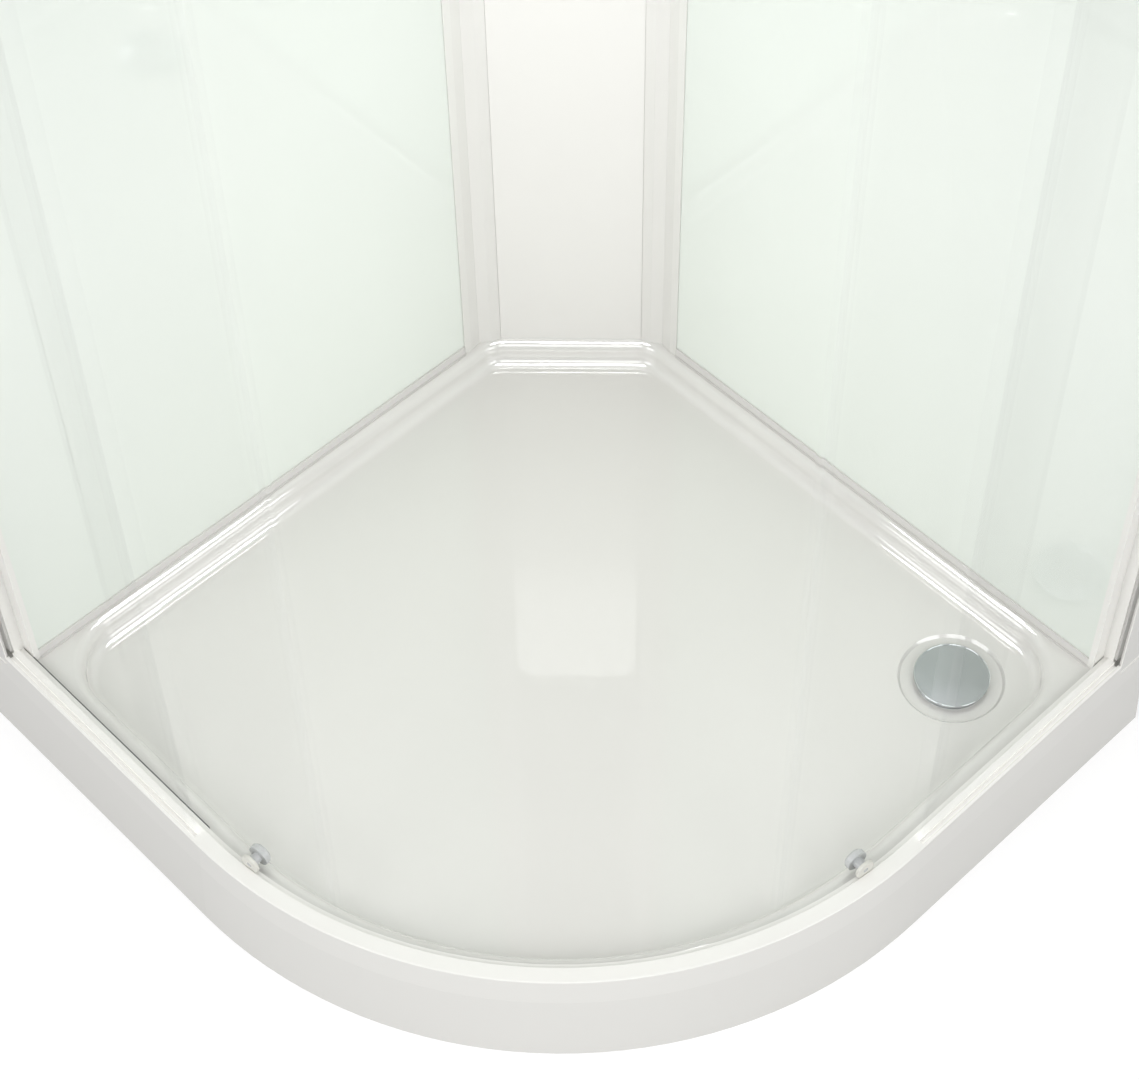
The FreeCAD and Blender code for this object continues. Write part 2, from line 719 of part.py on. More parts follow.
# ---------------------------------------------------------------- doors
WHEEL_OUTER = BEND_RADIUS - RAIL_INNER - WHEEL_GAP
WHEEL_INNER = WHEEL_OUTER - WHEEL_WIDTH
UPPER_AXLE_HEIGHT = UPPER_LEDGE_TOP + WHEEL_RADIUS + RUNNING_GAP
LOWER_AXLE_HEIGHT = LOWER_LEDGE_TOP + WHEEL_RADIUS + RUNNING_GAP


def at_height(height):
    return V(CENTRE.x, CENTRE.y, height)


def opened(shape):
    """A door piece made in the closed position, turned to where the door stands open."""
    return turned(shape, -OPENING_ANGLE)


def door_glass():
    """Bent pane of the left door, drilled for its rollers and its knob."""
    pane = bend_sector(
        DOOR_INNER_RADIUS,
        DOOR_OUTER_RADIUS,
        DOOR_TRAILING_ANGLE,
        DOOR_EDGE_ANGLE,
        DOOR_BOTTOM,
        DOOR_TOP,
    )
    holes = [(angle, UPPER_AXLE_HEIGHT) for angle in UPPER_ROLLER_ANGLES]
    holes += [(LOWER_ROLLER_ANGLE, LOWER_AXLE_HEIGHT), (KNOB_ANGLE, KNOB_HEIGHT)]
    for angle, height in holes:
        start = at_height(height) + radial(angle) * (DOOR_INNER_RADIUS - 5)
        hole = Part.makeCylinder(SHANK_RADIUS + HOLE_CLEARANCE, GLASS + 10, start, radial(angle))
        pane = pane.cut(hole)
    return opened(pane)


def roller_wheel(angle, height):
    """Grooveless nylon wheel with a dished face, on a radial axle."""
    bore = AXLE_RADIUS + AXLE_CLEARANCE
    profile = [
        (WHEEL_INNER, bore),
        (WHEEL_OUTER, bore),
        (WHEEL_OUTER, WHEEL_RADIUS - 0.6),
        (WHEEL_OUTER - 0.6, WHEEL_RADIUS),
        (WHEEL_INNER + 0.6, WHEEL_RADIUS),
        (WHEEL_INNER, WHEEL_RADIUS - 0.6),
    ]
    return opened(turned_profile(profile, at_height(height), radial(angle)))


def axle_profile(inner_profile):
    """The part of a roller mount from its shank through the glass to the end of its axle."""
    return inner_profile + [
        (DOOR_INNER_RADIUS - RUNNING_GAP, SHANK_RADIUS),
        (WHEEL_INNER - RUNNING_GAP, SHANK_RADIUS),
        (WHEEL_INNER - RUNNING_GAP, AXLE_RADIUS),
        (WHEEL_OUTER + 0.1, AXLE_RADIUS),
        (WHEEL_OUTER + 0.1, 0),
    ]


def upper_roller_mounts():
    """Cap, shank and axle of the two load-bearing rollers."""
    face = DOOR_INNER_RADIUS - RUNNING_GAP
    start = face - CAP_LENGTH
    cap = [(start, 0), (start, CAP_RADIUS - 1.5), (start + 1.5, CAP_RADIUS), (face, CAP_RADIUS)]
    profile = axle_profile(cap)
    mounts = []
    for angle in UPPER_ROLLER_ANGLES:
        mounts.append(opened(turned_profile(profile, at_height(UPPER_AXLE_HEIGHT), radial(angle))))
    return Part.makeCompound(mounts)


def lower_roller_housing():
    """Round housing of the lower roller, with the bore of its release button."""
    face = DOOR_INNER_RADIUS - RUNNING_GAP
    start = face - HOUSING_LENGTH
    bore = BUTTON_RADIUS + BUTTON_CLEARANCE
    profile = axle_profile([
        (face - 1.5, 0),
        (face - 1.5, bore),
        (start, bore),
        (start, HOUSING_RADIUS - 2.5),
        (start + 2.5, HOUSING_RADIUS),
        (face, HOUSING_RADIUS),
    ])
    return opened(turned_profile(profile, at_height(LOWER_AXLE_HEIGHT), radial(LOWER_ROLLER_ANGLE)))


def release_button():
    """Push button that frees the lower roller for cleaning."""
    bottom = DOOR_INNER_RADIUS - RUNNING_GAP - 1.5 - BUTTON_TRAVEL - 0.5
    start = bottom - BUTTON_LENGTH
    profile = [
        (start, 0),
        (start, BUTTON_RADIUS - 1),
        (start + 1, BUTTON_RADIUS),
        (bottom, BUTTON_RADIUS),
        (bottom, 0),
    ]
    return opened(turned_profile(profile, at_height(LOWER_AXLE_HEIGHT), radial(LOWER_ROLLER_ANGLE)))


def door_knob():
    """Pair of round knobs clamped through the pane."""
    inner_face = DOOR_INNER_RADIUS - RUNNING_GAP
    outer_face = DOOR_OUTER_RADIUS + RUNNING_GAP
    inner = [
        (inner_face - 28, 0),
        (inner_face - 28, 13),
        (inner_face - 26, 15),
        (inner_face - 14, 15),
        (inner_face - 8, 10),
        (inner_face, 10),
        (inner_face, SHANK_RADIUS),
        (outer_face, SHANK_RADIUS),
        (outer_face, 0),
    ]
    outer = [
        (outer_face, 0),
        (outer_face, 10),
        (outer_face + 8, 10),
        (outer_face + 12, 15),
        (outer_face + 21, 15),
        (outer_face + 23, 13),
        (outer_face + 23, 0),
    ]
    shapes = [turned_profile(points, at_height(KNOB_HEIGHT), radial(KNOB_ANGLE)) for points in (inner, outer)]
    return opened(Part.makeCompound(shapes))


def magnetic_seal():
    """Clear magnetic strip on the leading edge of the door."""
    bottom = BOTTOM_RAIL_TOP + 2
    top = TOP_RAIL_BOTTOM - 5
    grip = 0.8
    nose = MEETING_ANGLE - 0.05
    outer = bend_sector(
        DOOR_INNER_RADIUS - 1.5,
        DOOR_OUTER_RADIUS + 1.5,
        DOOR_EDGE_ANGLE - grip,
        nose,
        bottom,
        top,
    )
    slot = bend_sector(
        DOOR_INNER_RADIUS - RUNNING_GAP,
        DOOR_OUTER_RADIUS + RUNNING_GAP,
        DOOR_EDGE_ANGLE - grip - 0.1,
        DOOR_EDGE_ANGLE + 0.03,
        bottom - 1,
        top + 1,
    )
    return opened(outer.cut(slot))


# ---------------------------------------------------------------- rear walls
REAR_GLASS_BACK = REAR_GLASS_FRONT - GLASS
GLASS_POST_END = POST_INNER + 2.6
WING_EDGE = COLUMN_WING * math.sqrt(2) + REAR_GLASS_FRONT
GLASS_COLUMN_END = WING_EDGE - 8
STRIP_FRONT = REAR_GLASS_FRONT + STRIP_PLAY + STRIP_SHEET
STRIP_BACK = REAR_GLASS_BACK - STRIP_PLAY - STRIP_SHEET
REAR_TOP = TOTAL_HEIGHT - 10


def left_wall_block(wall_low, wall_high, from_front, from_corner, bottom, top):
    """A block along the left wall: wall insets, distance from the front and from the corner."""
    return block((-HALF + wall_low, -HALF + from_front, bottom), (-HALF + wall_high, HALF - from_corner, top))


def rear_glass():
    """Back-painted pane along the left wall."""
    edge = STRIP_BASE + STRIP_PLAY
    return left_wall_block(
        REAR_GLASS_BACK,
        REAR_GLASS_FRONT,
        GLASS_POST_END,
        GLASS_COLUMN_END,
        RIM_HEIGHT + edge,
        REAR_TOP - edge,
    )


def rear_strip(bottom, opening_up):
    """U-shaped strip that holds the lower or upper edge of a rear pane."""
    first = POST_INNER + POST_CHANNEL
    last = WING_EDGE + 4
    top = bottom + STRIP_HEIGHT
    strip = left_wall_block(STRIP_BACK, STRIP_FRONT, first, last, bottom, top)
    low = bottom + STRIP_BASE if opening_up else bottom - 1
    high = top + 1 if opening_up else top - STRIP_BASE
    back = REAR_GLASS_BACK - STRIP_PLAY
    front = REAR_GLASS_FRONT + STRIP_PLAY
    slot = left_wall_block(back, front, first - 1, last - 1, low, high)
    return strip.cut(slot)


def post_outline(points, bottom, top):
    """An upright piece of the left post from its (wall inset, front inset) outline."""
    corners = [V(-HALF + wall, -HALF + front, bottom) for wall, front in points]
    return rounded_face(corners).extrude(V(0, 0, top - bottom))


def wall_post():
    """Hollow wall post: slot for the fixed pane, channel for the rear pane, flange for the wall."""
    glass_play = REAR_GLASS_FRONT + STRIP_PLAY
    channel_end = POST_INNER + POST_CHANNEL
    outline = [
        (0, RAIL_OUTER),
        (POST_DEPTH, RAIL_OUTER),
        (POST_DEPTH, RAIL_OUTER + POST_SHEET),
        (POST_SLOT_BOTTOM + POST_SHEET, RAIL_OUTER + POST_SHEET),
        (POST_SLOT_BOTTOM + POST_SHEET, POST_SLOT_END),
        (POST_DEPTH, POST_SLOT_END),
        (POST_DEPTH, POST_INNER),
        (STRIP_FRONT, POST_INNER),
        (STRIP_FRONT, channel_end),
        (glass_play, channel_end),
        (glass_play, GLASS_POST_END - STRIP_PLAY),
        (REAR_GLASS_BACK - STRIP_PLAY, GLASS_POST_END - STRIP_PLAY),
        (REAR_GLASS_BACK - STRIP_PLAY, channel_end),
        (STRIP_BACK, channel_end),
        (STRIP_BACK, POST_INNER + STRIP_SHEET),
        (POST_WALL_SHEET, POST_INNER + STRIP_SHEET),
        (POST_WALL_SHEET, POST_WALL_FLANGE),
        (0, POST_WALL_FLANGE),
    ]
    post = post_outline(outline, RIM_HEIGHT, TOTAL_HEIGHT)
    behind_slot = [
        (POST_WALL_SHEET, RAIL_OUTER + POST_SHEET),
        (POST_SLOT_BOTTOM, RAIL_OUTER + POST_SHEET),
        (POST_SLOT_BOTTOM, POST_SLOT_END),
        (POST_WALL_SHEET, POST_SLOT_END),
    ]
    beside_slot = [
        (POST_WALL_SHEET, POST_SLOT_END + POST_SHEET),
        (POST_DEPTH - POST_SHEET, POST_SLOT_END + POST_SHEET),
        (POST_DEPTH - POST_SHEET, POST_INNER),
        (POST_WALL_SHEET, POST_INNER),
    ]
    for chamber in (behind_slot, beside_slot):
        post = post.cut(post_outline(chamber, RIM_HEIGHT - EPSILON_CUT, TOTAL_HEIGHT + EPSILON_CUT))
    skirt = left_sweep(
        [
            (APRON_LEAN, SKIRT_BOTTOM),
            (RAIL_OUTER - 0.3 * SKIRT_LEAN, RIM_HEIGHT),
            (APRON_LEAN + SKIRT_SHEET, RIM_HEIGHT),
            (APRON_LEAN + SKIRT_SHEET, SKIRT_BOTTOM),
        ],
        0.0,
        POST_DEPTH,
    )
    post = post.fuse(skirt).removeSplitter()
    for step in (-1, 0, 1):
        place = V(-HALF - 1, -HALF + FIXING_INSET, FIXING_MIDDLE + step * FIXING_SPACING)
        post = post.cut(Part.makeCylinder(FIXING_HOLE_RADIUS, POST_WALL_SHEET + 2, place, V(1, 0, 0)))
    return post.cut(post_screw())


def post_gasket():
    """Dark rubber strip in the post's slot, along the inner face of the fixed pane."""
    pane = FIXED_GLASS_INSET + GLASS
    return post_outline(
        [
            (POST_SLOT_BOTTOM + POST_SHEET, pane),
            (POST_DEPTH - GASKET_SETBACK, pane),
            (POST_DEPTH - GASKET_SETBACK, POST_SLOT_END),
            (POST_SLOT_BOTTOM + POST_SHEET, POST_SLOT_END),
        ],
        BOTTOM_RAIL_TOP,
        TOP_RAIL_BOTTOM,
    )


GASKET_SETBACK = 3.0
SCREW_RADIUS = 2.0
SCREW_HEAD_RADIUS = 3.6
SCREW_HEAD = 1.5
SCREW_LENGTH = 34.0
SCREW_INSET = (RAIL_OUTER + POST_SHEET + POST_SLOT_END) / 2
SCREW_HEIGHT = TOTAL_HEIGHT - 16.0


def post_screw():
    """Long screw from inside the post, across its slot, into the upper rail's end block."""
    start = V(-HALF + POST_SLOT_BOTTOM - SCREW_HEAD, -HALF + SCREW_INSET, SCREW_HEIGHT)
    head = Part.makeCylinder(SCREW_HEAD_RADIUS, SCREW_HEAD, start, V(1, 0, 0))
    return head.fuse(Part.makeCylinder(SCREW_RADIUS, SCREW_LENGTH, start, V(1, 0, 0))).removeSplitter()


def column_panel():
    """Flat centre sheet across the room corner."""
    back = COLUMN_PANEL_FRONT - COLUMN_SHEET
    points = [
        corner_point(-COLUMN_PANEL_HALF, back, RIM_HEIGHT),
        corner_point(COLUMN_PANEL_HALF, back, RIM_HEIGHT),
        corner_point(COLUMN_PANEL_HALF, COLUMN_PANEL_FRONT, RIM_HEIGHT),
        corner_point(-COLUMN_PANEL_HALF, COLUMN_PANEL_FRONT, RIM_HEIGHT),
    ]
    return rounded_face(points).extrude(V(0, 0, TOTAL_HEIGHT - RIM_HEIGHT))


def column_cover():
    """Raised lower cover with rounded upper corners, the access panel of the pipe space."""
    half = COLUMN_PANEL_HALF - COVER_SETBACK
    low = RIM_HEIGHT
    high = RIM_HEIGHT + COVER_HEIGHT
    corners = [(-half, low), (half, low), (half, high), (-half, high)]
    points = [corner_point(along, COLUMN_PANEL_FRONT, height) for along, height in corners]
    outward = corner_point(0, 1, 0) - corner_point(0, 0, 0)
    cover = rounded_face(points, [0, 0, COVER_ROUND, COVER_ROUND]).extrude(outward * COVER_RELIEF)
    rounded = []
    for edge in cover.Edges:
        reach = [corner_out(vertex.Point) - COLUMN_PANEL_FRONT for vertex in edge.Vertexes]
        if min(reach) > COVER_RELIEF - 1e-3 and edge.BoundBox.ZMax > low + 1:
            rounded.append(edge)
    return cover.makeFillet(COVER_RELIEF * 0.6, rounded)


def corner_out(point):
    """Distance of a point from the room corner, square to the column's face."""
    return ((point.x + HALF) + (HALF - point.y)) * math.sqrt(0.5)


def column_profile():
    """Folded side profile from the centre sheet out to the pane on the right-hand wall."""
    glass_line = COLUMN_WING + REAR_GLASS_FRONT * math.sqrt(2)
    edge = COLUMN_PANEL_HALF
    face = COLUMN_PANEL_FRONT
    front = [
        (edge - COVER_SETBACK + 0.2, face),
        (edge - COVER_SETBACK + 0.2, face + COVER_RELIEF),
        (edge + 6, face + COVER_RELIEF + 4.6),
        (edge + 20, face + COVER_RELIEF + 7.6),
        (COLUMN_WING - 6, glass_line - 3.0),
        (COLUMN_WING + 1, glass_line + 3.5),
        (COLUMN_WING + 2.0, glass_line + 2.4),
    ]
    back = [
        (COLUMN_WING - 5.4, glass_line - 5.1),
        (COLUMN_WING - 8, glass_line - 8.8),
        (edge + 22, face + COVER_RELIEF + 4.8),
        (edge + 7, face + COVER_RELIEF + 1.6),
        (edge, face),
    ]
    points = [corner_point(along, out, RIM_HEIGHT) for along, out in front + back]
    return rounded_face(points).extrude(V(0, 0, TOTAL_HEIGHT - RIM_HEIGHT))


def column_cap():
    """Plate that closes the pipe space behind the column at the top."""
    thickness = 3.0
    z = TOTAL_HEIGHT - thickness
    out = COLUMN_PANEL_FRONT - COLUMN_SHEET - 0.2
    side = out * math.sqrt(2)
    points = [V(-HALF, HALF, z), V(-HALF, HALF - side, z), V(-HALF + side, HALF, z)]
    return rounded_face(points).extrude(V(0, 0, thickness))


# ---------------------------------------------------------------- waste
DISH_FLOOR = FLOOR_HEIGHT - DISH_DEPTH
FLANGE_TOP = DISH_FLOOR + FLANGE_THICKNESS
TRAP_TOP = FLOOR_HEIGHT - SHEET - DISH_DEPTH - 2.0
TRAP_BOTTOM = TRAP_TOP - TRAP_DEPTH
THROAT_RADIUS = DRAIN_HOLE_RADIUS - 4.5
CUP_RIM = 2.5
CUP_RIM_THICKNESS = 1.5
CUP_PLAY = 0.3
CUP_WALL = 2.0


def drain_flange():
    """Flanged ring on the dish; its threaded neck goes down through the tray's hole."""
    neck = DRAIN_HOLE_RADIUS - 1.0
    profile = [
        (DISH_FLOOR, neck),
        (DISH_FLOOR, FLANGE_RADIUS),
        (DISH_FLOOR + 1, FLANGE_RADIUS),
        (FLANGE_TOP, FLANGE_RADIUS - 2),
        (FLANGE_TOP, THROAT_RADIUS + CUP_RIM),
        (FLANGE_TOP - CUP_RIM_THICKNESS, THROAT_RADIUS + CUP_RIM),
        (FLANGE_TOP - CUP_RIM_THICKNESS, THROAT_RADIUS),
        (TRAP_TOP - 12, THROAT_RADIUS),
        (TRAP_TOP - 12, neck),
    ]
    return turned_profile(profile, drain_point(0), UP)


def drain_gasket():
    """Rubber ring between the tray's underside and the trap's rim."""
    profile = [
        (TRAP_TOP, DRAIN_HOLE_RADIUS + 1),
        (TRAP_TOP, TRAP_RADIUS - 2),
        (TRAP_TOP + 2.0, TRAP_RADIUS - 2),
        (TRAP_TOP + 2.0, DRAIN_HOLE_RADIUS + 1),
    ]
    return turned_profile(profile, drain_point(0), UP)


def trap_body():
    """Cup of the low trap with its side outlet towards the right-hand wall."""
    cup = turned_profile(
        [
            (TRAP_BOTTOM, 0),
            (TRAP_BOTTOM, TRAP_RADIUS - 8),
            (TRAP_BOTTOM + 10, TRAP_RADIUS),
            (TRAP_TOP, TRAP_RADIUS),
            (TRAP_TOP, DRAIN_HOLE_RADIUS),
            (TRAP_TOP - TRAP_WALL, DRAIN_HOLE_RADIUS),
            (TRAP_TOP - TRAP_WALL, TRAP_RADIUS - TRAP_WALL),
            (TRAP_BOTTOM + 12, TRAP_RADIUS - TRAP_WALL),
            (TRAP_BOTTOM + TRAP_WALL, TRAP_RADIUS - 10),
            (TRAP_BOTTOM + TRAP_WALL, 0),
        ],
        drain_point(0),
        UP,
    )
    start = drain_point(OUTLET_HEIGHT)
    inside = Part.makeCylinder(TRAP_RADIUS - TRAP_WALL, TRAP_DEPTH, drain_point(TRAP_BOTTOM))
    pipe = Part.makeCylinder(OUTLET_RADIUS, OUTLET_REACH, start, V(0, 1, 0))
    collar = Part.makeCylinder(OUTLET_COLLAR_RADIUS, OUTLET_COLLAR_END, start, V(0, 1, 0))
    outlet = pipe.fuse(collar).cut(inside)
    bore = Part.makeCylinder(OUTLET_RADIUS - OUTLET_WALL, OUTLET_REACH + 1, start, V(0, 1, 0))
    return cup.fuse(outlet).cut(bore).removeSplitter()


def trap_cup():
    """Inner cup: hangs by its rim in the flange and dips into the trap's water."""
    bottom = TRAP_BOTTOM + 14
    outer = THROAT_RADIUS - CUP_PLAY
    inner = outer - CUP_WALL
    rim_bottom = FLANGE_TOP - CUP_RIM_THICKNESS
    profile = [
        (FLANGE_TOP, THROAT_RADIUS + CUP_RIM - CUP_PLAY),
        (FLANGE_TOP, inner),
        (bottom, inner),
        (bottom, outer),
        (rim_bottom, outer),
        (rim_bottom, THROAT_RADIUS + CUP_RIM - CUP_PLAY),
    ]
    return turned_profile(profile, drain_point(0), UP)


def drain_cover():
    """Chromed dome on three ribs over the flange; it lifts off, guided by a ring in the cup."""
    rim = FLANGE_TOP + COVER_SEAT_GAP + COVER_RIB_HEIGHT
    edge_top = rim + COVER_EDGE
    crown = edge_top + COVER_CROWN
    sphere_radius = (COVER_RADIUS ** 2 + COVER_CROWN ** 2) / (2 * COVER_CROWN)
    half_way = COVER_RADIUS / 2
    half_height = crown - sphere_radius + math.sqrt(sphere_radius ** 2 - half_way ** 2)
    edges = [
        Part.LineSegment(V(0, 0, rim), V(0, 0, crown)).toShape(),
        Part.Arc(V(0, 0, crown), V(half_way, 0, half_height), V(COVER_RADIUS, 0, edge_top)).toShape(),
        Part.LineSegment(V(COVER_RADIUS, 0, edge_top), V(COVER_RADIUS, 0, rim)).toShape(),
        Part.LineSegment(V(COVER_RADIUS, 0, rim), V(0, 0, rim)).toShape(),
    ]
    dome = Part.Face(Part.Wire(edges)).revolve(V(0, 0, 0), UP, 360)
    dome.translate(drain_point(0))
    guide = THROAT_RADIUS - 4
    ring = turned_profile(
        [(rim, guide), (rim, guide - 2), (rim - 14, guide - 2), (rim - 14, guide)],
        drain_point(0),
        UP,
    )
    pieces = [dome, ring]
    for step in range(3):
        rib = Part.makeBox(
            COVER_RADIUS - guide - 6,
            COVER_RIB_WIDTH,
            COVER_RIB_HEIGHT,
            drain_point(rim - COVER_RIB_HEIGHT) + V(guide - 1, -COVER_RIB_WIDTH / 2, 0),
        )
        rib.rotate(drain_point(0), UP, 90 + 120 * step)
        pieces.append(rib)
    return fused(pieces)


# ---------------------------------------------------------------- build
def main():
    os.makedirs("parts", exist_ok=True)

    save("tray_shell", tray_shell())
    save("tray_base_board", base_board())
    for name, y, first, last, places in BEARERS:
        save(name, support_bearer(y, first, last, places))
    feet()
    save("front_apron", apron())
    save("apron_brackets", apron_brackets())

    screw = post_screw()
    end_block = rail_end_block().cut(screw)
    save("bottom_rail", bottom_rail())
    save("top_rail", top_rail())
    save("rail_end_blocks", Part.makeCompound([end_block, across_diagonal(end_block)]))
    save("post_screws", Part.makeCompound([screw, across_diagonal(screw)]))
    save("rail_gasket_left", rail_gasket())
    stop = track_stop()
    save("track_stops", Part.makeCompound([stop, across_diagonal(stop)]))

    save_pair("wall_post", wall_post())
    save_pair("post_gasket", post_gasket())
    save_pair("fixed_glass", fixed_glass())
    save_pair("fixed_glass_seal", fixed_glass_seal())
    save_pair("rear_glass", rear_glass())
    save_pair("rear_bottom_strip", rear_strip(RIM_HEIGHT, True))
    save_pair("rear_top_strip", rear_strip(REAR_TOP - STRIP_HEIGHT, False))
    save("column_panel", column_panel())
    save("column_cover", column_cover())
    right_profile = column_profile()
    save("column_profile_right", right_profile)
    save("column_profile_left", across_diagonal(right_profile))
    save("column_cap", column_cap())

    save_pair("door_glass", door_glass())
    save_pair("door_roller_mounts", upper_roller_mounts())
    save_pair("lower_roller_housing", lower_roller_housing())
    save_pair("release_button", release_button())
    save_pair("door_knob", door_knob())
    save_pair("magnetic_seal", magnetic_seal())
    save_pair("upper_roller_front", roller_wheel(UPPER_ROLLER_ANGLES[0], UPPER_AXLE_HEIGHT))
    save_pair("upper_roller_rear", roller_wheel(UPPER_ROLLER_ANGLES[1], UPPER_AXLE_HEIGHT))
    save_pair("lower_roller", roller_wheel(LOWER_ROLLER_ANGLE, LOWER_AXLE_HEIGHT))

    save("drain_flange", drain_flange())
    save("drain_gasket", drain_gasket())
    save("trap_body", trap_body())
    save("trap_cup", trap_cup())
    save("drain_cover", drain_cover())
    print(len(written), "sub-parts")


main()
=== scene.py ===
"""Looks of the quadrant shower enclosure: finishes, light and camera.

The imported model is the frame: +Z is up, metres, the room corner lies at -X and +Y and the
round glass front faces +X and -Y. Every solid keeps its place; this script dresses it.
"""

from __future__ import annotations

import json
import logging
import math
from dataclasses import dataclass, field
from enum import Enum

import bmesh
import bpy
from mathutils import Matrix, Quaternion, Vector

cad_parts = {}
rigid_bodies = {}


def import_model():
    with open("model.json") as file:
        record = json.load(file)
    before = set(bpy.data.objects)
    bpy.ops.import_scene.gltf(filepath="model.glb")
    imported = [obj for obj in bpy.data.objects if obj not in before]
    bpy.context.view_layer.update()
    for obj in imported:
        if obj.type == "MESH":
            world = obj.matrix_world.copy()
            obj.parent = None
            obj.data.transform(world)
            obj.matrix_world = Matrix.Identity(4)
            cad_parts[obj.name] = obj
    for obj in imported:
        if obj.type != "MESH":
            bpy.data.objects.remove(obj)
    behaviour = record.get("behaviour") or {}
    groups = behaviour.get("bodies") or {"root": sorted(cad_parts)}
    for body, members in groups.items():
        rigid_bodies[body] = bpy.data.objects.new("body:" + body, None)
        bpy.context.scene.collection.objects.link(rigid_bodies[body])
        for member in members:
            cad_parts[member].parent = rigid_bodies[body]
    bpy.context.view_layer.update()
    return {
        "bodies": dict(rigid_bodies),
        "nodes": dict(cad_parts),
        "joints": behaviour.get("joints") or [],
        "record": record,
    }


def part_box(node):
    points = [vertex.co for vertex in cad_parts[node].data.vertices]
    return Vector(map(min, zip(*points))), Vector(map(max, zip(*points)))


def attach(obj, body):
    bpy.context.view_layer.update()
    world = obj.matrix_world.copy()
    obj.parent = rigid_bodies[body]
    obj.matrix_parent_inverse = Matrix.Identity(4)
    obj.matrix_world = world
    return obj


LOG = logging.getLogger("shower_enclosure")
MM = 0.001

WHITE = "#FFFFFF"
# Heights between which column and walls are painted darker towards the tray, as painted shade, in metres.
SHADE_FOOT_LOW = 0.13
SHADE_FOOT_HIGH = 0.62
# Waves per metre of the slow drift in colour and roughness.
DRIFT_SCALE = 3.2
# How far drawing lines and pressed chips are stretched, against their width.
LINE_STRETCH = 0.02
CHIP_STRETCH = 0.45
COAT_ROUGHNESS = 0.03
# An index of refraction so near that of air that light goes through unbent.
UNBENT_IOR = 1.0005
# Facets of a small rounded edge.
EDGE_SEGMENTS = 3


def srgb(code: str) -> tuple[float, float, float, float]:
    """Turn an sRGB hex colour into linear values.

    Args:
        code: Six hex digits with a leading hash.

    Returns:
        Linear red, green and blue with an alpha of one.
    """
    channels = []
    for start in (1, 3, 5):
        value = int(code[start:start + 2], 16) / 255
        channels.append(value / 12.92 if value <= 0.04045 else ((value + 0.055) / 1.055) ** 2.4)
    return channels[0], channels[1], channels[2], 1.0


class Pattern(Enum):
    """Surface textures, by what makes them on the real part."""

    ORANGE_PEEL = "orange peel"
    POWDER = "powder grain"
    MOULDED = "moulded grain"
    DRAWN = "drawing lines"
    CHIPS = "pressed chips"
    SMEAR = "wiping marks"


@dataclass
class NodeGraph:
    """The node tree of a material or of the surround, filled step by step.

    Attributes:
        tree: The tree under construction.
    """

    tree: bpy.types.NodeTree

    def add(self, kind: str, **values: object) -> bpy.types.ShaderNode:
        """Add one node and set its named sockets or properties.

        Args:
            kind: Blender's type name of the node.
            **values: Socket names with spaces as underscores, or node properties.

        Returns:
            The new node.
        """
        node = self.tree.nodes.new(kind)
        for name, value in values.items():
            socket = node.inputs.get(name.replace("_", " "))
            if socket is None:
                setattr(node, name, value)
            else:
                socket.default_value = value
        return node

    def join(self, source: bpy.types.NodeSocket, target: bpy.types.NodeSocket) -> None:
        """Link two sockets.

        Args:
            source: The output to read.
            target: The input to feed.
        """
        self.tree.links.new(source, target)

    def blend(
        self,
        share: bpy.types.NodeSocket,
        first: str,
        second: str | bpy.types.NodeSocket,
    ) -> bpy.types.NodeSocket:
        """Blend two colours.

        Args:
            share: How much of the second colour shows.
            first: The first colour, sRGB hex.
            second: The second colour, sRGB hex or an output to read.

        Returns:
            The blended colour.
        """
        node = self.add("ShaderNodeMix", data_type="RGBA")
        low, high = [socket for socket in node.inputs if socket.type == "RGBA"]
        low.default_value = srgb(first)
        if isinstance(second, str):
            high.default_value = srgb(second)
        else:
            self.join(second, high)
        self.join(share, node.inputs[0])
        return next(socket for socket in node.outputs if socket.type == "RGBA")


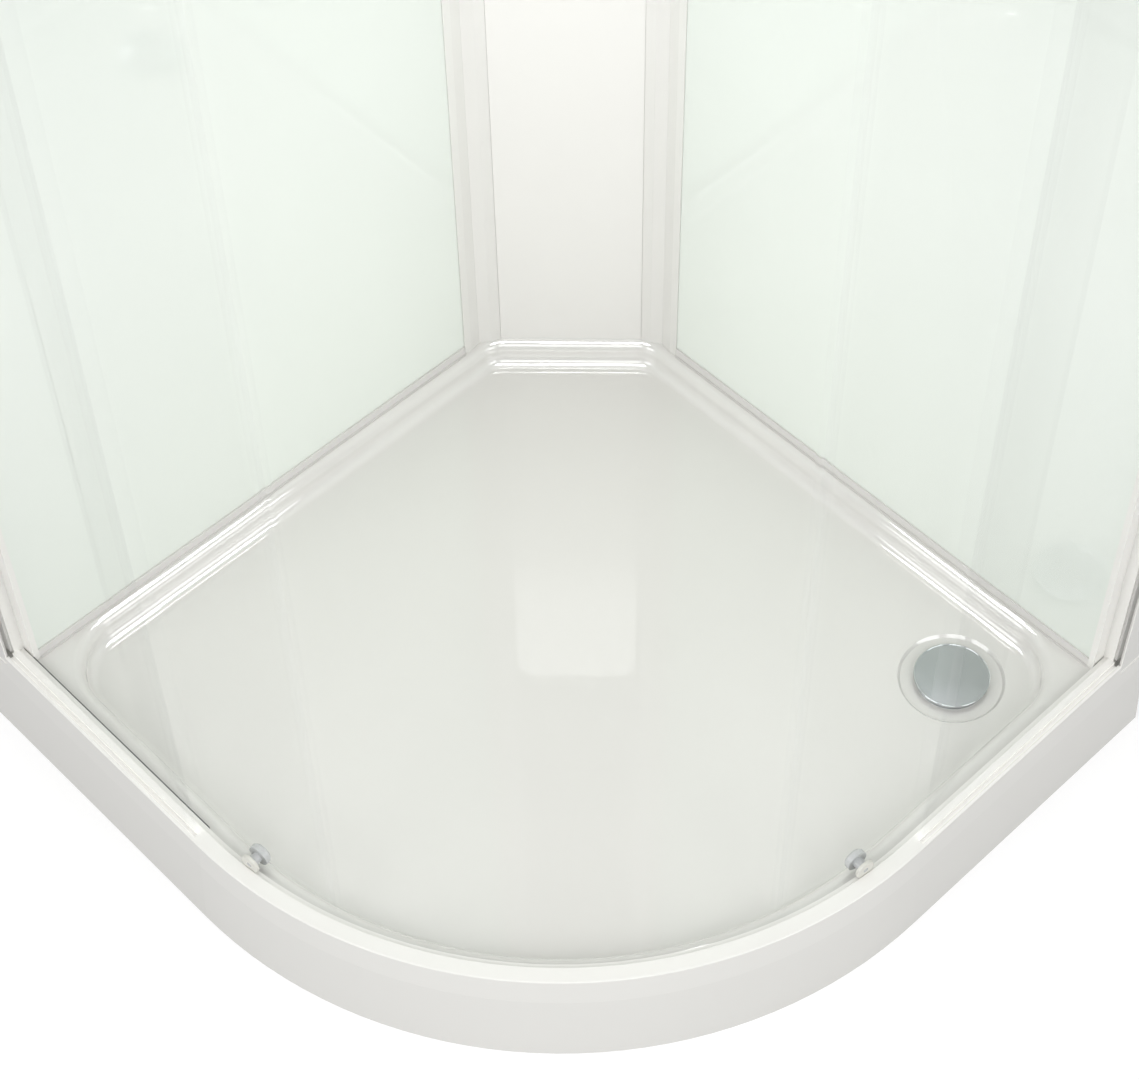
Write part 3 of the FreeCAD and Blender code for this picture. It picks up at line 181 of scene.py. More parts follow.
@dataclass(frozen=True)
class Finish:
    """A real material and its surface, made once and shared by its pieces.

    Attributes:
        name: Name of the real material and its finish.
        colour: Main colour, sRGB hex.
        tint: Second colour that the first drifts towards, sRGB hex.
        roughness: Middle roughness.
        spread: How far the roughness drifts either way.
        pattern: What the surface texture is.
        grain_mm: Size of the texture.
        relief_mm: Height of the texture.
        metallic: One for metals.
        ior: Index of refraction.
        coat: Weight of a clear layer on top.
        coat_ior: Index of refraction of that layer.
        transmission: One for clear glass.
        clearness: Share of the light that passes straight through, for thin clear plastic.
        painted_glow: Strength of a glow painted into the piece in its own colour, in place of light through
            a pane's edge.
        foot: Painted shade close to the tray: the darker colour that the piece fades to there, sRGB hex;
            empty for none.
    """

    name: str
    colour: str
    tint: str
    roughness: float
    spread: float = 0.03
    pattern: Pattern = Pattern.MOULDED
    grain_mm: float = 1.0
    relief_mm: float = 0.01
    metallic: float = 0.0
    ior: float = 1.5
    coat: float = 0.0
    coat_ior: float = 1.5
    transmission: float = 0.0
    clearness: float = 0.0
    painted_glow: float = 0.0
    foot: str = ""

    def texture(self, graph: NodeGraph) -> bpy.types.NodeSocket:
        """Add the texture that the pattern names.

        Args:
            graph: The material under construction.

        Returns:
            The texture's grey output.
        """
        place = graph.add("ShaderNodeTexCoord")
        mapping = graph.add("ShaderNodeMapping")
        graph.join(place.outputs["Object"], mapping.inputs["Vector"])
        scale = 1 / (self.grain_mm * MM)
        if self.pattern is Pattern.DRAWN:
            mapping.inputs["Scale"].default_value = (1.0, 1.0, LINE_STRETCH)
            node = graph.add("ShaderNodeTexNoise", Scale=scale, Detail=3.0, Roughness=0.6)
            output = node.outputs["Fac"]
        elif self.pattern is Pattern.CHIPS:
            mapping.inputs["Scale"].default_value = (1.0, CHIP_STRETCH, 1.0)
            node = graph.add("ShaderNodeTexVoronoi", Scale=scale, Randomness=1.0)
            output = node.outputs["Distance"]
        else:
            detail = {Pattern.ORANGE_PEEL: 1.0, Pattern.SMEAR: 4.0}.get(self.pattern, 3.0)
            node = graph.add("ShaderNodeTexNoise", Scale=scale, Detail=detail, Roughness=0.5)
            output = node.outputs["Fac"]
        graph.join(mapping.outputs["Vector"], node.inputs["Vector"])
        return output

    def drift(self, graph: NodeGraph) -> bpy.types.NodeSocket:
        """Add the slow drift over the part that colour and roughness follow.

        Args:
            graph: The material under construction.

        Returns:
            The drift's grey output.
        """
        place = graph.add("ShaderNodeTexCoord")
        node = graph.add("ShaderNodeTexNoise", Scale=DRIFT_SCALE, Detail=2.0, Roughness=0.5)
        graph.join(place.outputs["Object"], node.inputs["Vector"])
        return node.outputs["Fac"]

    def unshaded_share(self, graph: NodeGraph) -> bpy.types.NodeSocket:
        """Find at each height above the tray how far the painted shade there has faded.

        Args:
            graph: The material under construction.

        Returns:
            Zero where the painted shade is full, rising to one above its reach.
        """
        place = graph.add("ShaderNodeTexCoord")
        parts = graph.add("ShaderNodeSeparateXYZ")
        rise = graph.add("ShaderNodeMapRange", From_Min=SHADE_FOOT_LOW, From_Max=SHADE_FOOT_HIGH)
        graph.join(place.outputs["Object"], parts.inputs["Vector"])
        graph.join(parts.outputs["Z"], rise.inputs["Value"])
        return rise.outputs["Result"]

    def build(self) -> bpy.types.Material:
        """Make the material.

        Returns:
            The finished material.
        """
        material = bpy.data.materials.new(self.name)
        material.use_nodes = True
        material.node_tree.nodes.clear()
        graph = NodeGraph(material.node_tree)
        output = graph.add("ShaderNodeOutputMaterial")
        shader = graph.add(
            "ShaderNodeBsdfPrincipled",
            Metallic=self.metallic,
            IOR=self.ior,
            Coat_Weight=self.coat,
            Coat_Roughness=COAT_ROUGHNESS,
            Coat_IOR=self.coat_ior,
            Transmission_Weight=self.transmission,
            # Painted glow: the piece shines in its own colour, painted light though it is no lamp.
            Emission_Color=srgb(self.colour),
            Emission_Strength=self.painted_glow,
        )
        drift = self.drift(graph)
        grain = self.texture(graph)

        share = grain if self.pattern is Pattern.CHIPS else drift
        colour = graph.blend(share, self.colour, self.tint)
        # Painted shade: towards the tray the colour darkens to the foot colour.
        if self.foot:
            colour = graph.blend(self.unshaded_share(graph), self.foot, colour)
        graph.join(colour, shader.inputs["Base Color"])

        rough = graph.add("ShaderNodeMapRange")
        rough.inputs["To Min"].default_value = max(self.roughness - self.spread, 0.0)
        rough.inputs["To Max"].default_value = self.roughness + self.spread
        graph.join(drift, rough.inputs["Value"])
        graph.join(rough.outputs["Result"], shader.inputs["Roughness"])

        bump = graph.add("ShaderNodeBump", Strength=1.0, Distance=self.relief_mm * MM)
        graph.join(grain, bump.inputs["Height"])
        graph.join(bump.outputs["Normal"], shader.inputs["Normal"])

        if self.transmission or self.clearness:
            self.let_light_through(graph, shader, output)
        else:
            graph.join(shader.outputs["BSDF"], output.inputs["Surface"])
        return material

    def let_light_through(
        self,
        graph: NodeGraph,
        shader: bpy.types.ShaderNode,
        output: bpy.types.ShaderNode,
    ) -> None:
        """Let lamp light pass a clear piece without a dark shadow.

        Args:
            graph: The material under construction.
            shader: The surface shader.
            output: The material's output node.
        """
        path = graph.add("ShaderNodeLightPath")
        shadow_free = graph.add("ShaderNodeBsdfTransparent", Color=srgb(WHITE))
        if self.transmission < 1.0:
            straight = graph.add(
                "ShaderNodeBsdfRefraction", Color=srgb(WHITE), Roughness=0.0, IOR=UNBENT_IOR
            )
        else:
            straight = shadow_free
        seen = graph.add("ShaderNodeMixShader", Fac=self.clearness)
        graph.join(shader.outputs["BSDF"], seen.inputs[1])
        graph.join(straight.outputs["BSDF"], seen.inputs[2])
        mix = graph.add("ShaderNodeMixShader")
        graph.join(path.outputs["Is Shadow Ray"], mix.inputs["Fac"])
        graph.join(seen.outputs["Shader"], mix.inputs[1])
        graph.join(shadow_free.outputs["BSDF"], mix.inputs[2])
        graph.join(mix.outputs["Shader"], output.inputs["Surface"])


# Vacuum-formed acrylic sheet over the tray: white, very glossy, faint orange peel. Its indices of
# refraction are above acrylic's own 1.49, for the strong mirror images in the photographed tray.
TRAY_ACRYLIC = Finish(
    "acrylic_sheet_gloss_white", "#E0DFDB", "#DDDCD8", 0.045, 0.015, Pattern.ORANGE_PEEL, 9.0, 0.002,
    ior=1.6, coat=1.0, coat_ior=1.9,
)
# The same sheet on the front apron, a little duller and less even.
APRON_ACRYLIC = Finish(
    "acrylic_sheet_apron_white", "#EDECE8", "#EAE9E5", 0.14, 0.03, Pattern.ORANGE_PEEL, 7.0, 0.006,
    ior=1.49, coat=0.3,
)
# Aluminium profiles with a gloss white powder coat.
WHITE_COAT = Finish(
    "powder_coat_gloss_white", "#F1F0EC", "#EEEDE9", 0.20, 0.03, Pattern.POWDER, 0.9, 0.004, coat=0.4
)
# Five millimetre float glass, painted greenish white on its back; the front is polished. Near the tray its
# colour is painted darker, as painted shade.
PAINTED_GLASS = Finish(
    "float_glass_back_painted_white", "#F4F9F3", "#F1F7F1", 0.012, 0.006, Pattern.SMEAR, 40.0, 0.0004,
    ior=1.52, coat=0.5, foot="#E7EDE6",
)
# Clear toughened float glass of the fixed panes and doors: nearly all light goes straight through.
CLEAR_GLASS = Finish(
    "toughened_glass_clear", "#F8FDFB", "#F5FCF9", 0.004, 0.003, Pattern.SMEAR, 60.0, 0.0004,
    ior=1.5, transmission=1.0, clearness=0.975,
)
# Soft clear plastic of the edge seals.
CLEAR_SEAL = Finish(
    "soft_pvc_clear", "#F4F7F5", "#EFF3F1", 0.20, 0.05, Pattern.MOULDED, 2.0, 0.01,
    ior=1.53, transmission=0.6, clearness=0.975,
)
# Extruded plastic of the corner column, gloss white with a warm cast, painted darker near the tray as
# painted shade.
COLUMN_PLASTIC = Finish(
    "extruded_plastic_warm_white", "#F6F5F1", "#F4F3EF", 0.16, 0.04, Pattern.MOULDED, 3.0, 0.004,
    coat=0.4, foot="#E0DFDB",
)
# The same plastic behind the cover, a duller sheet.
COLUMN_SHEET = Finish(
    "plastic_sheet_satin_white", "#EBEAE6", "#E9E8E4", 0.30, 0.04, Pattern.MOULDED, 3.0, 0.005
)
# Extruded plastic strip along the rear panes, satin light grey.
GREY_STRIP = Finish(
    "extruded_plastic_satin_grey", "#DAD8D5", "#D6D4D1", 0.32, 0.05, Pattern.MOULDED, 2.0, 0.008
)
# Neutral-cure silicone bead under the strips, light grey with a soft shine.
SILICONE = Finish(
    "silicone_bead_grey", "#CBC9C6", "#C4C2BF", 0.38, 0.05, Pattern.MOULDED, 1.4, 0.02, ior=1.41
)
# Chromed brass and chromed plastic of the visible hardware.
CHROME = Finish(
    "chrome_plate_polished", "#C9CDCE", "#BFC4C6", 0.07, 0.02, Pattern.SMEAR, 12.0, 0.001, metallic=1.0
)
# Chromed steel of the waste cover, softly brushed by use.
COVER_CHROME = Finish(
    "chrome_plate_waste_cover", "#BABDC0", "#B0B4B7", 0.16, 0.03, Pattern.SMEAR, 16.0, 0.001, metallic=1.0
)
# Grey plastic with a chrome lacquer.
GREY_PLASTIC = Finish(
    "lacquered_plastic_grey", "#C6C8C8", "#BCBEBF", 0.22, 0.04, Pattern.MOULDED, 1.5, 0.01, coat=0.5
)
# Natural nylon of wheels and end blocks.
NYLON = Finish("nylon_natural", "#DEDDD6", "#D6D5CD", 0.42, 0.05, Pattern.MOULDED, 0.8, 0.01, ior=1.53)
# Dark rubber of the rail gasket, the stops and the trap's seal ring.
RUBBER = Finish("rubber_dark_grey", "#5A5C5C", "#505252", 0.62, 0.06, Pattern.MOULDED, 0.5, 0.02, ior=1.52)
# Light grey soft plastic of the gaskets beside the panes, with a painted glow in place of light through the
# pane's edge.
PALE_GASKET = Finish(
    "soft_pvc_light_grey", "#B7B6B3", "#AFAEAB", 0.45, 0.05, Pattern.MOULDED, 0.8, 0.01, ior=1.53, painted_glow=0.3
)
# White soft plastic of the channel that seats a fixed pane in the lower rail. It is seen through
# the pane's foot and has a painted glow in place of the light that the pane guides down to it.
WHITE_GASKET = Finish(
    "soft_pvc_white", "#F0EFEB", "#EDECE8", 0.35, 0.05, Pattern.MOULDED, 0.9, 0.006, ior=1.53, painted_glow=0.22
)
# White polypropylene of the trap.
TRAP_PLASTIC = Finish(
    "polypropylene_white", "#E2E2DD", "#DADAD5", 0.45, 0.05, Pattern.MOULDED, 1.0, 0.015
)
# Zinc-plated steel of tubes, studs, nuts and brackets.
ZINC = Finish(
    "zinc_plated_steel", "#B3B5B6", "#9FA2A4", 0.36, 0.08, Pattern.DRAWN, 1.2, 0.006, metallic=1.0
)
# Raw chipboard of the stiffening board.
CHIPBOARD = Finish("chipboard_raw", "#B8976B", "#8E6F49", 0.80, 0.05, Pattern.CHIPS, 4.0, 0.12)
# Black polyamide of the foot pads.
FOOT_PLASTIC = Finish("polyamide_black", "#1C1C1D", "#262627", 0.50, 0.05, Pattern.MOULDED, 0.8, 0.02)
# Glossy button caps.
BUTTON_PLASTIC = Finish(
    "button_plastic_white", "#EAEAE7", "#E4E4E1", 0.22, 0.03, Pattern.MOULDED, 1.0, 0.006, coat=0.4
)


@dataclass
class FinishStore:
    """Makes each finish's material once and shares it.

    Attributes:
        made: Materials made so far, by finish name.
    """

    made: dict[str, bpy.types.Material] = field(default_factory=dict)

    def material(self, finish: Finish) -> bpy.types.Material:
        """Find or make a finish's material.

        Args:
            finish: The finish wanted.

        Returns:
            Its one shared material.
        """
        if finish.name not in self.made:
            self.made[finish.name] = finish.build()
        return self.made[finish.name]


@dataclass
class SubAssembly:
    """What every group of pieces shares: its solids, its finishes and its log.

    Attributes:
        store: The shared finishes.
    """

    frame: dict
    store: FinishStore

    def dress(self, finish: Finish, *nodes: str) -> None:
        """Give solids a finish.

        Args:
            finish: The finish of all of them.
            *nodes: Names of the solids' nodes.
        """
        for name in nodes:
            mesh = self.frame["nodes"][name].data
            mesh.materials.clear()
            mesh.materials.append(self.store.material(finish))
            LOG.info("%s: %s", name, finish.name)

    def dress_pair(self, finish: Finish, *stems: str) -> None:
        """Give the left and right solids of each name a finish.

        Args:
            finish: The finish of all of them.
            *stems: Names without their side.
        """
        for stem in stems:
            self.dress(finish, stem + "_left", stem + "_right")

    def add_piece(
        self,
        name: str,
        shape: bmesh.types.BMesh,
        finish: Finish,
        body: str,
        slot: str,
    ) -> None:
        """Make a new piece from a finished shape.

        Args:
            name: The piece's name.
            shape: Its shape, in place; it is freed here.
            finish: Its finish.
            body: The moving body that carries it.
            slot: The record's slot that its finish belongs to; not used.
        """
        bmesh.ops.recalc_face_normals(shape, faces=shape.faces)
        mesh = bpy.data.meshes.new(name)
        shape.to_mesh(mesh)
        shape.free()
        mesh.materials.append(self.store.material(finish))
        piece = bpy.data.objects.new(name, mesh)
        bpy.context.scene.collection.objects.link(piece)
        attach(piece, body)
        LOG.info("%s: %s", name, finish.name)


@dataclass
class Tray(SubAssembly):
    """Acrylic tray with its apron, stiffening board, tubes and screw feet."""

    def build(self) -> None:
        """Dress the tray and what carries it."""
        self.dress(TRAY_ACRYLIC, "tray_shell")
        self.dress(APRON_ACRYLIC, "front_apron")
        self.dress(CHIPBOARD, "tray_base_board")
        self.dress(ZINC, "support_bearer_rear", "support_bearer_middle", "support_bearer_front")
        self.dress(ZINC, "feet_studs", "feet_nuts", "apron_brackets")
        self.dress(FOOT_PLASTIC, "feet_pads")


@dataclass
class FrontFrame(SubAssembly):
    """Rails and wall posts with their gaskets, stops, end blocks and screws."""

    def build(self) -> None:
        """Dress the profiles and what sits in them."""
        self.dress(WHITE_COAT, "bottom_rail", "top_rail")
        self.dress_pair(WHITE_COAT, "wall_post")
        self.dress_pair(PALE_GASKET, "post_gasket")
        self.dress(RUBBER, "rail_gasket_left", "track_stops")
        self.dress(NYLON, "rail_end_blocks")
        self.dress(ZINC, "post_screws")


def rounded_bar(low: Vector, high: Vector, radius: float) -> bmesh.types.BMesh:
    """Shape a straight bar with rounded long edges.

    Args:
        low: Its lowest corner.
        high: Its highest corner.
        radius: Radius of the long edges, in metres.

    Returns:
        The bar, in place.
    """
    size = high - low
    longest = max(range(3), key=lambda axis: size[axis])
    shape = bmesh.new()
    bmesh.ops.create_cube(shape, size=1.0)
    bmesh.ops.scale(shape, vec=size, verts=shape.verts)
    long_edges = [
        edge
        for edge in shape.edges
        if abs((edge.verts[0].co - edge.verts[1].co)[longest]) > size[longest] / 2
    ]
    bmesh.ops.bevel(
        shape,
        geom=long_edges,
        offset=radius,
        segments=EDGE_SEGMENTS,
        profile=0.5,
        affect="EDGES",
        material=-1,
    )
    bmesh.ops.translate(shape, vec=(low + high) / 2, verts=shape.verts)
    return shape


@dataclass
class FrontGlazing(SubAssembly):
    """Fixed panes, curved doors, their clear seals and what seats the fixed panes.

    Attributes:
        leg: Thickness of the seating channel beside the pane, in metres.
        web: Thickness of the channel under the pane, in metres.
        play: Gap between channel and pane, in metres.
        post_depth: Depth of the wall post, in metres.
        bead_depth: How deep the outer bead reaches into the post's slot, in metres.
        bead_width: Width of the outer bead in the post's slot, in metres.
        bead_setback: How far the outer bead lies behind the post's face, in metres.
        bead_rounding: Radius of the outer bead's long edges, as a share of its width.
    """

    leg: float = 0.3 * MM
    web: float = 0.15 * MM
    play: float = 0.02 * MM
    post_depth: float = 45.0 * MM
    bead_depth: float = 10.0 * MM
    bead_width: float = 2.2 * MM
    bead_setback: float = 1.0 * MM
    bead_rounding: float = 0.3

    def seating_channel(self, side: str) -> bmesh.types.BMesh:
        """Shape the U-shaped channel between a fixed pane's foot and the rail's groove.

        Args:
            side: "left" or "right".

        Returns:
            The channel, in place.
        """
        low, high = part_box("fixed_glass_" + side)
        post_low, post_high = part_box("wall_post_" + side)
        rail_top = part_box("bottom_rail")[1][2]
        along_x = side == "left"
        across = 1 if along_x else 0
        first = post_low[0] + self.post_depth if along_x else low[1]
        last = high[0] if along_x else post_high[1] - self.post_depth
        inner_low = low[across] - self.play
        inner_high = high[across] + self.play
        foot = low[2] - self.play
        outline = [
            (inner_low - self.leg, rail_top),
            (inner_low - self.leg, foot - self.web),
            (inner_high + self.leg, foot - self.web),
            (inner_high + self.leg, rail_top),
            (inner_high, rail_top),
            (inner_high, foot),
            (inner_low, foot),
            (inner_low, rail_top),
        ]
        shape = bmesh.new()
        corners = []
        for side_place, height in outline:
            place = (first, side_place, height) if along_x else (side_place, first, height)
            corners.append(shape.verts.new(place))
        face = shape.faces.new(corners)
        made = bmesh.ops.extrude_face_region(shape, geom=[face])["geom"]
        step = Vector((last - first, 0, 0)) if along_x else Vector((0, last - first, 0))
        moved = [item for item in made if isinstance(item, bmesh.types.BMVert)]
        bmesh.ops.translate(shape, vec=step, verts=moved)
        return shape

    def post_bead(self, side: str) -> bmesh.types.BMesh:
        """Shape the outer bead that fills the post's slot in front of the fixed pane.

        Args:
            side: "left" or "right".

        Returns:
            The bead, in place.
        """
        low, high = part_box("fixed_glass_" + side)
        post_low, post_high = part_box("wall_post_" + side)
        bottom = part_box("bottom_rail")[1][2]
        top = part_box("top_rail")[0][2]
        if side == "left":
            face = post_low[0] + self.post_depth - self.bead_setback
            start = Vector((face - self.bead_depth, low[1] - self.play - self.bead_width, bottom))
            end = Vector((face, low[1] - self.play, top))
        else:
            face = post_high[1] - self.post_depth + self.bead_setback
            start = Vector((high[0] + self.play, face, bottom))
            end = Vector((high[0] + self.play + self.bead_width, face + self.bead_depth, top))
        return rounded_bar(start, end, self.bead_width * self.bead_rounding)

    def build(self) -> None:
        """Dress panes and seals and seat the fixed panes."""
        self.dress_pair(CLEAR_GLASS, "fixed_glass", "door_glass")
        self.dress_pair(CLEAR_SEAL, "fixed_glass_seal", "magnetic_seal")
        for side in ("left", "right"):
            channel = self.seating_channel(side)
            self.add_piece("seating_channel_" + side, channel, WHITE_GASKET, "enclosure", "white_strip")
            bead = self.post_bead(side)
            self.add_piece("post_bead_" + side, bead, PALE_GASKET, "enclosure", "dark_rubber")


@dataclass
class DoorHardware(SubAssembly):
    """Rollers, their mounts, the release buttons and the knobs."""

    def build(self) -> None:
        """Dress what moves the doors."""
        self.dress_pair(CHROME, "door_roller_mounts", "door_knob")
        self.dress_pair(GREY_PLASTIC, "lower_roller_housing")
        self.dress_pair(BUTTON_PLASTIC, "release_button")
        self.dress_pair(NYLON, "upper_roller_front", "upper_roller_rear", "lower_roller")


@dataclass
class RearWalls(SubAssembly):
    """Back-painted panes along the walls, in their strips, with a bead of silicone at the foot.

    Attributes:
        bead: Height and reach of the silicone bead, in metres.
        overlap: How far the bead lies under the strip's face, in metres.
        rounding: Radius of the bead's round face, as a share of its height.
        segments: Facets of the bead's round face.
    """

    bead: float = 1.8 * MM
    overlap: float = 0.4 * MM
    rounding: float = 0.8
    segments: int = 4

    def foot_bead(self, side: str) -> bmesh.types.BMesh:
        """Shape the bead between a strip's foot and the tray.

        Args:
            side: "left" or "right".

        Returns:
            The bead, in place.
        """
        low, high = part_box("rear_bottom_strip_" + side)
        shape = bmesh.new()
        bmesh.ops.create_cube(shape, size=1.0)
        along_y = side == "left"
        length = (high[1] - low[1]) if along_y else (high[0] - low[0])
        reach = self.bead + self.overlap
        size = (reach, length, self.bead) if along_y else (length, reach, self.bead)
        bmesh.ops.scale(shape, vec=size, verts=shape.verts)
        outward = Vector((1, 0, 0)) if along_y else Vector((0, -1, 0))
        corner = [
            edge
            for edge in shape.edges
            if all((vert.co.z > 0 and vert.co.dot(outward) > 0) for vert in edge.verts)
        ]
        bmesh.ops.bevel(
            shape,
            geom=corner,
            offset=self.bead * self.rounding,
            segments=self.segments,
            profile=0.5,
            affect="EDGES",
            material=-1,
        )
        middle = Vector(((low[0] + high[0]) / 2, (low[1] + high[1]) / 2, low[2] + self.bead / 2))
        if along_y:
            middle.x = high[0] + reach / 2 - self.overlap
        else:
            middle.y = low[1] - reach / 2 + self.overlap
        bmesh.ops.translate(shape, vec=middle, verts=shape.verts)
        return shape

    def build(self) -> None:
        """Dress panes and strips and lay the beads."""
        self.dress_pair(PAINTED_GLASS, "rear_glass")
        self.dress_pair(GREY_STRIP, "rear_bottom_strip", "rear_top_strip")
        for side in ("left", "right"):
            bead = self.foot_bead(side)
            self.add_piece("foot_bead_" + side, bead, SILICONE, "enclosure", "white_strip")


@dataclass
class CornerColumn(SubAssembly):
    """Centre sheet, lower cover, folded side profiles and cap of the corner column."""

    def build(self) -> None:
        """Dress the column."""
        self.dress(COLUMN_PLASTIC, "column_cover")
        self.dress(COLUMN_SHEET, "column_panel", "column_cap")
        self.dress_pair(COLUMN_PLASTIC, "column_profile")


@dataclass
class Waste(SubAssembly):
    """Chromed cover with its rim and flange over the low trap.

    Attributes:
        crown: Height of the cover's crown above its edge, in metres.
        rim: Radius of the rim's round section, in metres.
        inset: How far the rim's middle lies inside the cover's edge, in metres.
        facets: Facets of the rim's round section.
        steps: Facets of the rim around the cover.
    """

    crown: float = 3.5 * MM
    rim: float = 0.9 * MM
    inset: float = 0.4 * MM
    facets: int = 12
    steps: int = 96

    def cover_rim(self) -> bmesh.types.BMesh:
        """Shape the round polished rim along the cover's edge.

        Returns:
            The rim, in place.
        """
        low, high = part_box("drain_cover")
        middle = Vector(((low[0] + high[0]) / 2, (low[1] + high[1]) / 2, high[2] - self.crown))
        shape = bmesh.new()
        circle = bmesh.ops.create_circle(
            shape, cap_ends=False, radius=self.rim, segments=self.facets
        )
        section = circle["verts"]
        upright = Matrix.Rotation(math.pi / 2, 3, "X")
        bmesh.ops.rotate(shape, verts=section, cent=(0, 0, 0), matrix=upright)
        reach = (high[0] - low[0]) / 2 - self.inset
        bmesh.ops.translate(shape, verts=section, vec=(reach, 0, 0))
        bmesh.ops.spin(
            shape,
            geom=shape.verts[:] + shape.edges[:],
            cent=(0, 0, 0),
            axis=(0, 0, 1),
            angle=2 * math.pi,
            steps=self.steps,
            use_merge=True,
        )
        bmesh.ops.translate(shape, verts=shape.verts, vec=middle)
        return shape

    def build(self) -> None:
        """Dress the waste from cover to trap and put the rim on the cover."""
        self.dress(COVER_CHROME, "drain_cover")
        self.dress(CHROME, "drain_flange")
        self.dress(RUBBER, "drain_gasket")
        self.dress(TRAP_PLASTIC, "trap_body", "trap_cup")
        self.add_piece("cover_rim", self.cover_rim(), CHROME, "drain_cover", "chrome")


@dataclass(frozen=True)
class Softbox:
    """One rectangular studio lamp.

    Attributes:
        name: Name of the lamp.
        place: Where it hangs, in metres.
        target: The point that it faces.
        width: Its first side, in metres.
        height: Its second side, in metres.
        power: Its power in watts.
        turn: Its turn about its own axis, in radians.
        only_on: The objects that it reaches; none means all.
        gloss_only: Whether it shows only as a highlight.
    """

    name: str
    place: tuple[float, float, float]
    target: tuple[float, float, float]
    width: float
    height: float
    power: float
    turn: float = 0.0
    only_on: tuple[str, ...] = ()
    gloss_only: bool = False

    def build(self) -> None:
        """Hang the lamp."""
        lamp = bpy.data.lights.new(self.name, "AREA")
        lamp.shape = "RECTANGLE"
        lamp.size = self.width
        lamp.size_y = self.height
        lamp.energy = self.power
        holder = bpy.data.objects.new(self.name, lamp)
        bpy.context.scene.collection.objects.link(holder)
        holder.location = self.place
        aim = Vector(self.target) - Vector(self.place)
        facing = aim.to_track_quat("-Z", "Y") @ Quaternion((0, 0, 1), self.turn)
        holder.rotation_euler = facing.to_euler()
        holder.visible_camera = False
        holder.visible_transmission = not self.gloss_only
        holder.visible_diffuse = not self.gloss_only
        if self.only_on:
            receivers = bpy.data.collections.new(self.name + "_receivers")
            for name in self.only_on:
                receivers.objects.link(bpy.data.objects[name])
            holder.light_linking.receiver_collection = receivers
        LOG.info("lamp: %s", self.name)


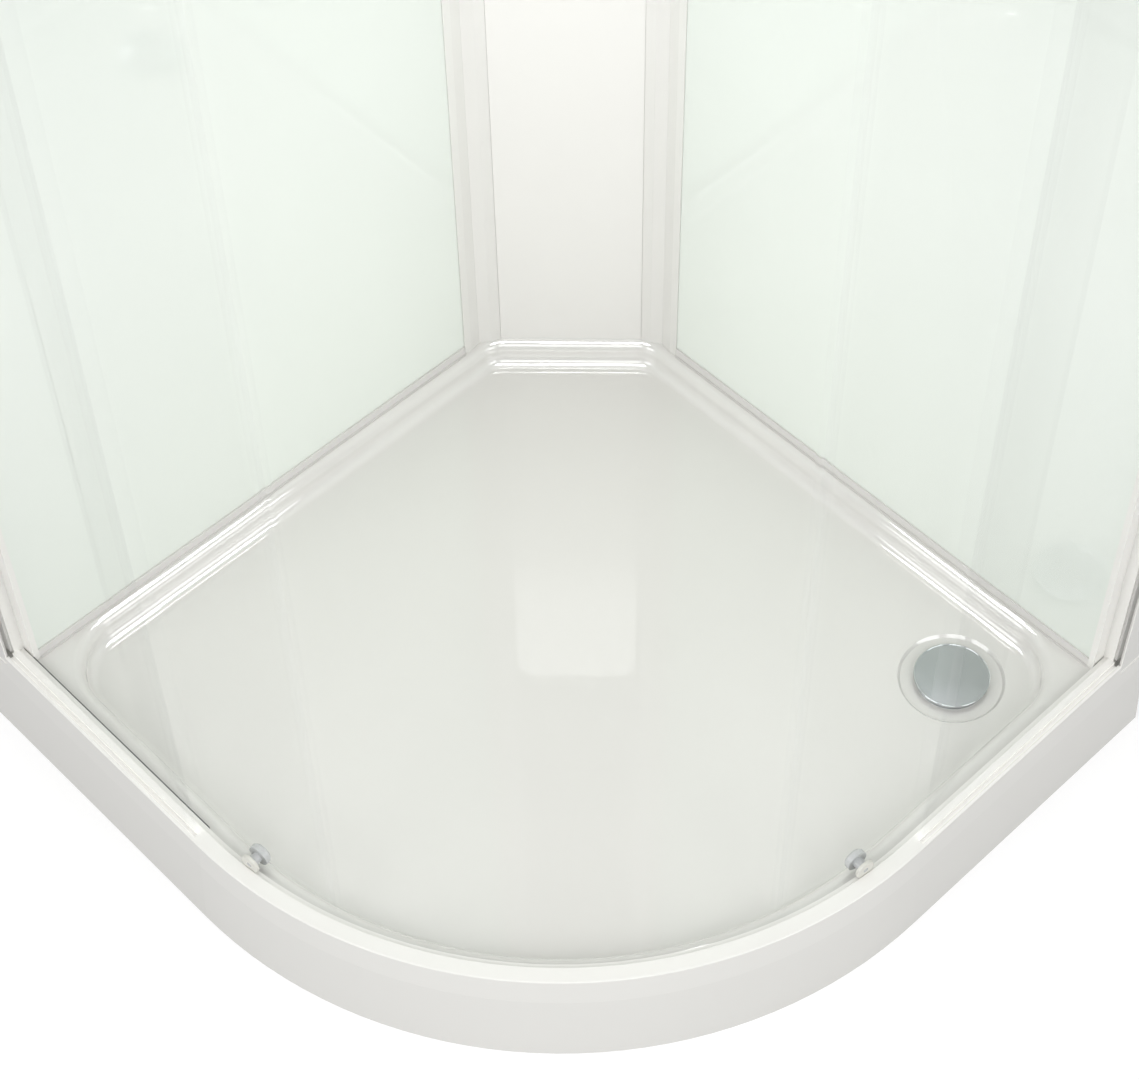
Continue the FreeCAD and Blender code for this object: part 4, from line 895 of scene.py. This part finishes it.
@dataclass
class Studio:
    """Pale floor, soft lamps and an even surround.

    Attributes:
        floor_half: Half the floor's side, in metres.
        floor_tone: The floor's own grey, as a linear value.
        floor_glow: What the camera alone sees on top of it, so that the floor reads as white.
        surround: Strength of the even light from all round.
    """

    floor_half: float = 6.0
    floor_tone: float = 0.5
    floor_glow: float = 0.55
    surround: float = 0.54

    def floor(self) -> None:
        """Lay the floor: white, and slightly lifted for the camera so that it meets the backdrop."""
        mesh = bpy.data.meshes.new("studio_floor")
        shape = bmesh.new()
        bmesh.ops.create_grid(shape, x_segments=1, y_segments=1, size=self.floor_half)
        shape.to_mesh(mesh)
        shape.free()
        plane = bpy.data.objects.new("studio_floor", mesh)
        bpy.context.scene.collection.objects.link(plane)
        material = bpy.data.materials.new("studio_floor_white")
        material.use_nodes = True
        material.node_tree.nodes.clear()
        graph = NodeGraph(material.node_tree)
        output = graph.add("ShaderNodeOutputMaterial")
        diffuse = graph.add("ShaderNodeBsdfDiffuse", Color=(self.floor_tone,) * 3 + (1.0,))
        glow = graph.add("ShaderNodeEmission", Color=srgb(WHITE), Strength=self.floor_glow)
        both = graph.add("ShaderNodeAddShader")
        path = graph.add("ShaderNodeLightPath")
        mix = graph.add("ShaderNodeMixShader")
        graph.join(diffuse.outputs["BSDF"], both.inputs[0])
        graph.join(glow.outputs["Emission"], both.inputs[1])
        graph.join(path.outputs["Is Camera Ray"], mix.inputs["Fac"])
        graph.join(diffuse.outputs["BSDF"], mix.inputs[1])
        graph.join(both.outputs["Shader"], mix.inputs[2])
        graph.join(mix.outputs["Shader"], output.inputs["Surface"])
        mesh.materials.append(material)

    def world(self) -> None:
        """Surround the object with even light; the camera sees plain white."""
        world = bpy.data.worlds.new("studio_surround")
        world.use_nodes = True
        bpy.context.scene.world = world
        world.node_tree.nodes.clear()
        graph = NodeGraph(world.node_tree)
        output = graph.add("ShaderNodeOutputWorld")
        seen = graph.add("ShaderNodeBackground", Color=srgb(WHITE), Strength=1.0)
        light = graph.add("ShaderNodeBackground", Color=srgb(WHITE), Strength=self.surround)
        path = graph.add("ShaderNodeLightPath")
        mix = graph.add("ShaderNodeMixShader")
        graph.join(path.outputs["Is Camera Ray"], mix.inputs["Fac"])
        graph.join(light.outputs["Background"], mix.inputs[1])
        graph.join(seen.outputs["Background"], mix.inputs[2])
        graph.join(mix.outputs["Shader"], output.inputs["Surface"])

    def room_lamps(self) -> list[Softbox]:
        """List the lamps that light everything, and the one for the column's cover.

        Returns:
            The lamps, not yet hung.
        """
        return [
            Softbox("overhead", (0.1, -0.1, 3.6), (0.0, 0.0, 0.0), 2.4, 2.4, 14.0),
            Softbox("front", (2.2, -2.2, 2.6), (0.0, 0.0, 0.5), 2.0, 2.0, 29.0),
            Softbox("right_side", (3.1, 0.3, 1.6), (-0.4, 0.0, 0.4), 2.0, 1.8, 29.0),
            Softbox("left_side", (-0.3, -3.1, 1.6), (0.0, 0.4, 0.4), 2.0, 1.8, 29.0),
            Softbox(
                "column_light", (0.3, -0.3, 2.35), (-0.3, 0.3, 0.7), 0.8, 0.8, 7.0,
                only_on=("column_cover",),
            ),
        ]

    def lip_lamps(self) -> list[Softbox]:
        """List the lamps that only draw the bright bars on the tray's lip.

        Returns:
            The lamps, not yet hung.
        """
        tray = ("tray_shell",)
        return [
            Softbox(
                "left_lip", (0.16, 0.21, 1.4), (0.16, 0.21, 0.0), 0.56, 0.34, 6.5,
                only_on=tray, gloss_only=True,
            ),
            Softbox(
                "right_lip", (-0.21, -0.16, 1.4), (-0.21, -0.16, 0.0), 0.34, 0.56, 6.5,
                only_on=tray, gloss_only=True,
            ),
            Softbox(
                "back_lip", (0.03, -0.03, 1.4), (0.03, -0.03, 0.0), 0.17, 0.5, 3.5,
                turn=math.pi / 4, only_on=tray, gloss_only=True,
            ),
        ]

    def build(self) -> None:
        """Make floor, surround and lamps."""
        self.floor()
        self.world()
        for lamp in self.room_lamps() + self.lip_lamps():
            lamp.build()


@dataclass(frozen=True)
class PhotoCamera:
    """The camera that took the photograph, as found from the tray's outline.

    Attributes:
        place: Where it stands, in metres.
        yaw: Turn from +Y towards +X, in radians.
        pitch: Downward tilt, in radians.
        roll: Turn about its own axis, in radians.
        focal_px: Focal length in pixels of the photograph.
        centre_px: Pixel that its axis passes through.
        photo_px: Width and height of the photograph.
        sensor_mm: Width of the sensor.
    """

    place: tuple[float, float, float] = (1.17312, -1.08162, 2.39234)
    yaw: float = -0.799
    pitch: float = 0.932
    roll: float = -0.003
    focal_px: float = 2571.1
    centre_px: tuple[float, float] = (602.8, 581.9)
    photo_px: tuple[int, int] = (1139, 1080)
    sensor_mm: float = 36.0

    def build(self) -> None:
        """Set up the scene's camera."""
        width, height = self.photo_px
        data = bpy.data.cameras.new("photo_camera")
        data.sensor_width = self.sensor_mm
        data.lens = self.focal_px / width * self.sensor_mm
        data.shift_x = (width / 2 - self.centre_px[0]) / width
        data.shift_y = (self.centre_px[1] - height / 2) / width
        camera = bpy.data.objects.new("photo_camera", data)
        bpy.context.scene.collection.objects.link(camera)
        ahead = Vector((
            math.sin(self.yaw) * math.cos(self.pitch),
            math.cos(self.yaw) * math.cos(self.pitch),
            -math.sin(self.pitch),
        ))
        level_right = ahead.cross(Vector((0, 0, 1))).normalized()
        level_up = level_right.cross(ahead)
        right = math.cos(self.roll) * level_right + math.sin(self.roll) * level_up
        up = -math.sin(self.roll) * level_right + math.cos(self.roll) * level_up
        turn = Matrix((right, up, -ahead)).transposed()
        camera.matrix_world = Matrix.Translation(self.place) @ turn.to_4x4()
        bpy.context.scene.camera = camera
        LOG.info("camera: %s", camera.name)


def main() -> None:
    """Load the frame, dress it, light it and set the camera."""
    logging.basicConfig(level=logging.INFO, format="%(message)s")
    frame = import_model()
    bpy.context.scene.view_settings.view_transform = "Standard"
    store = FinishStore()
    for group in (Tray, FrontFrame, FrontGlazing, DoorHardware, RearWalls, CornerColumn, Waste):
        group(frame, store).build()
    Studio().build()
    PhotoCamera().build()


if __name__ == "__main__":
    main()
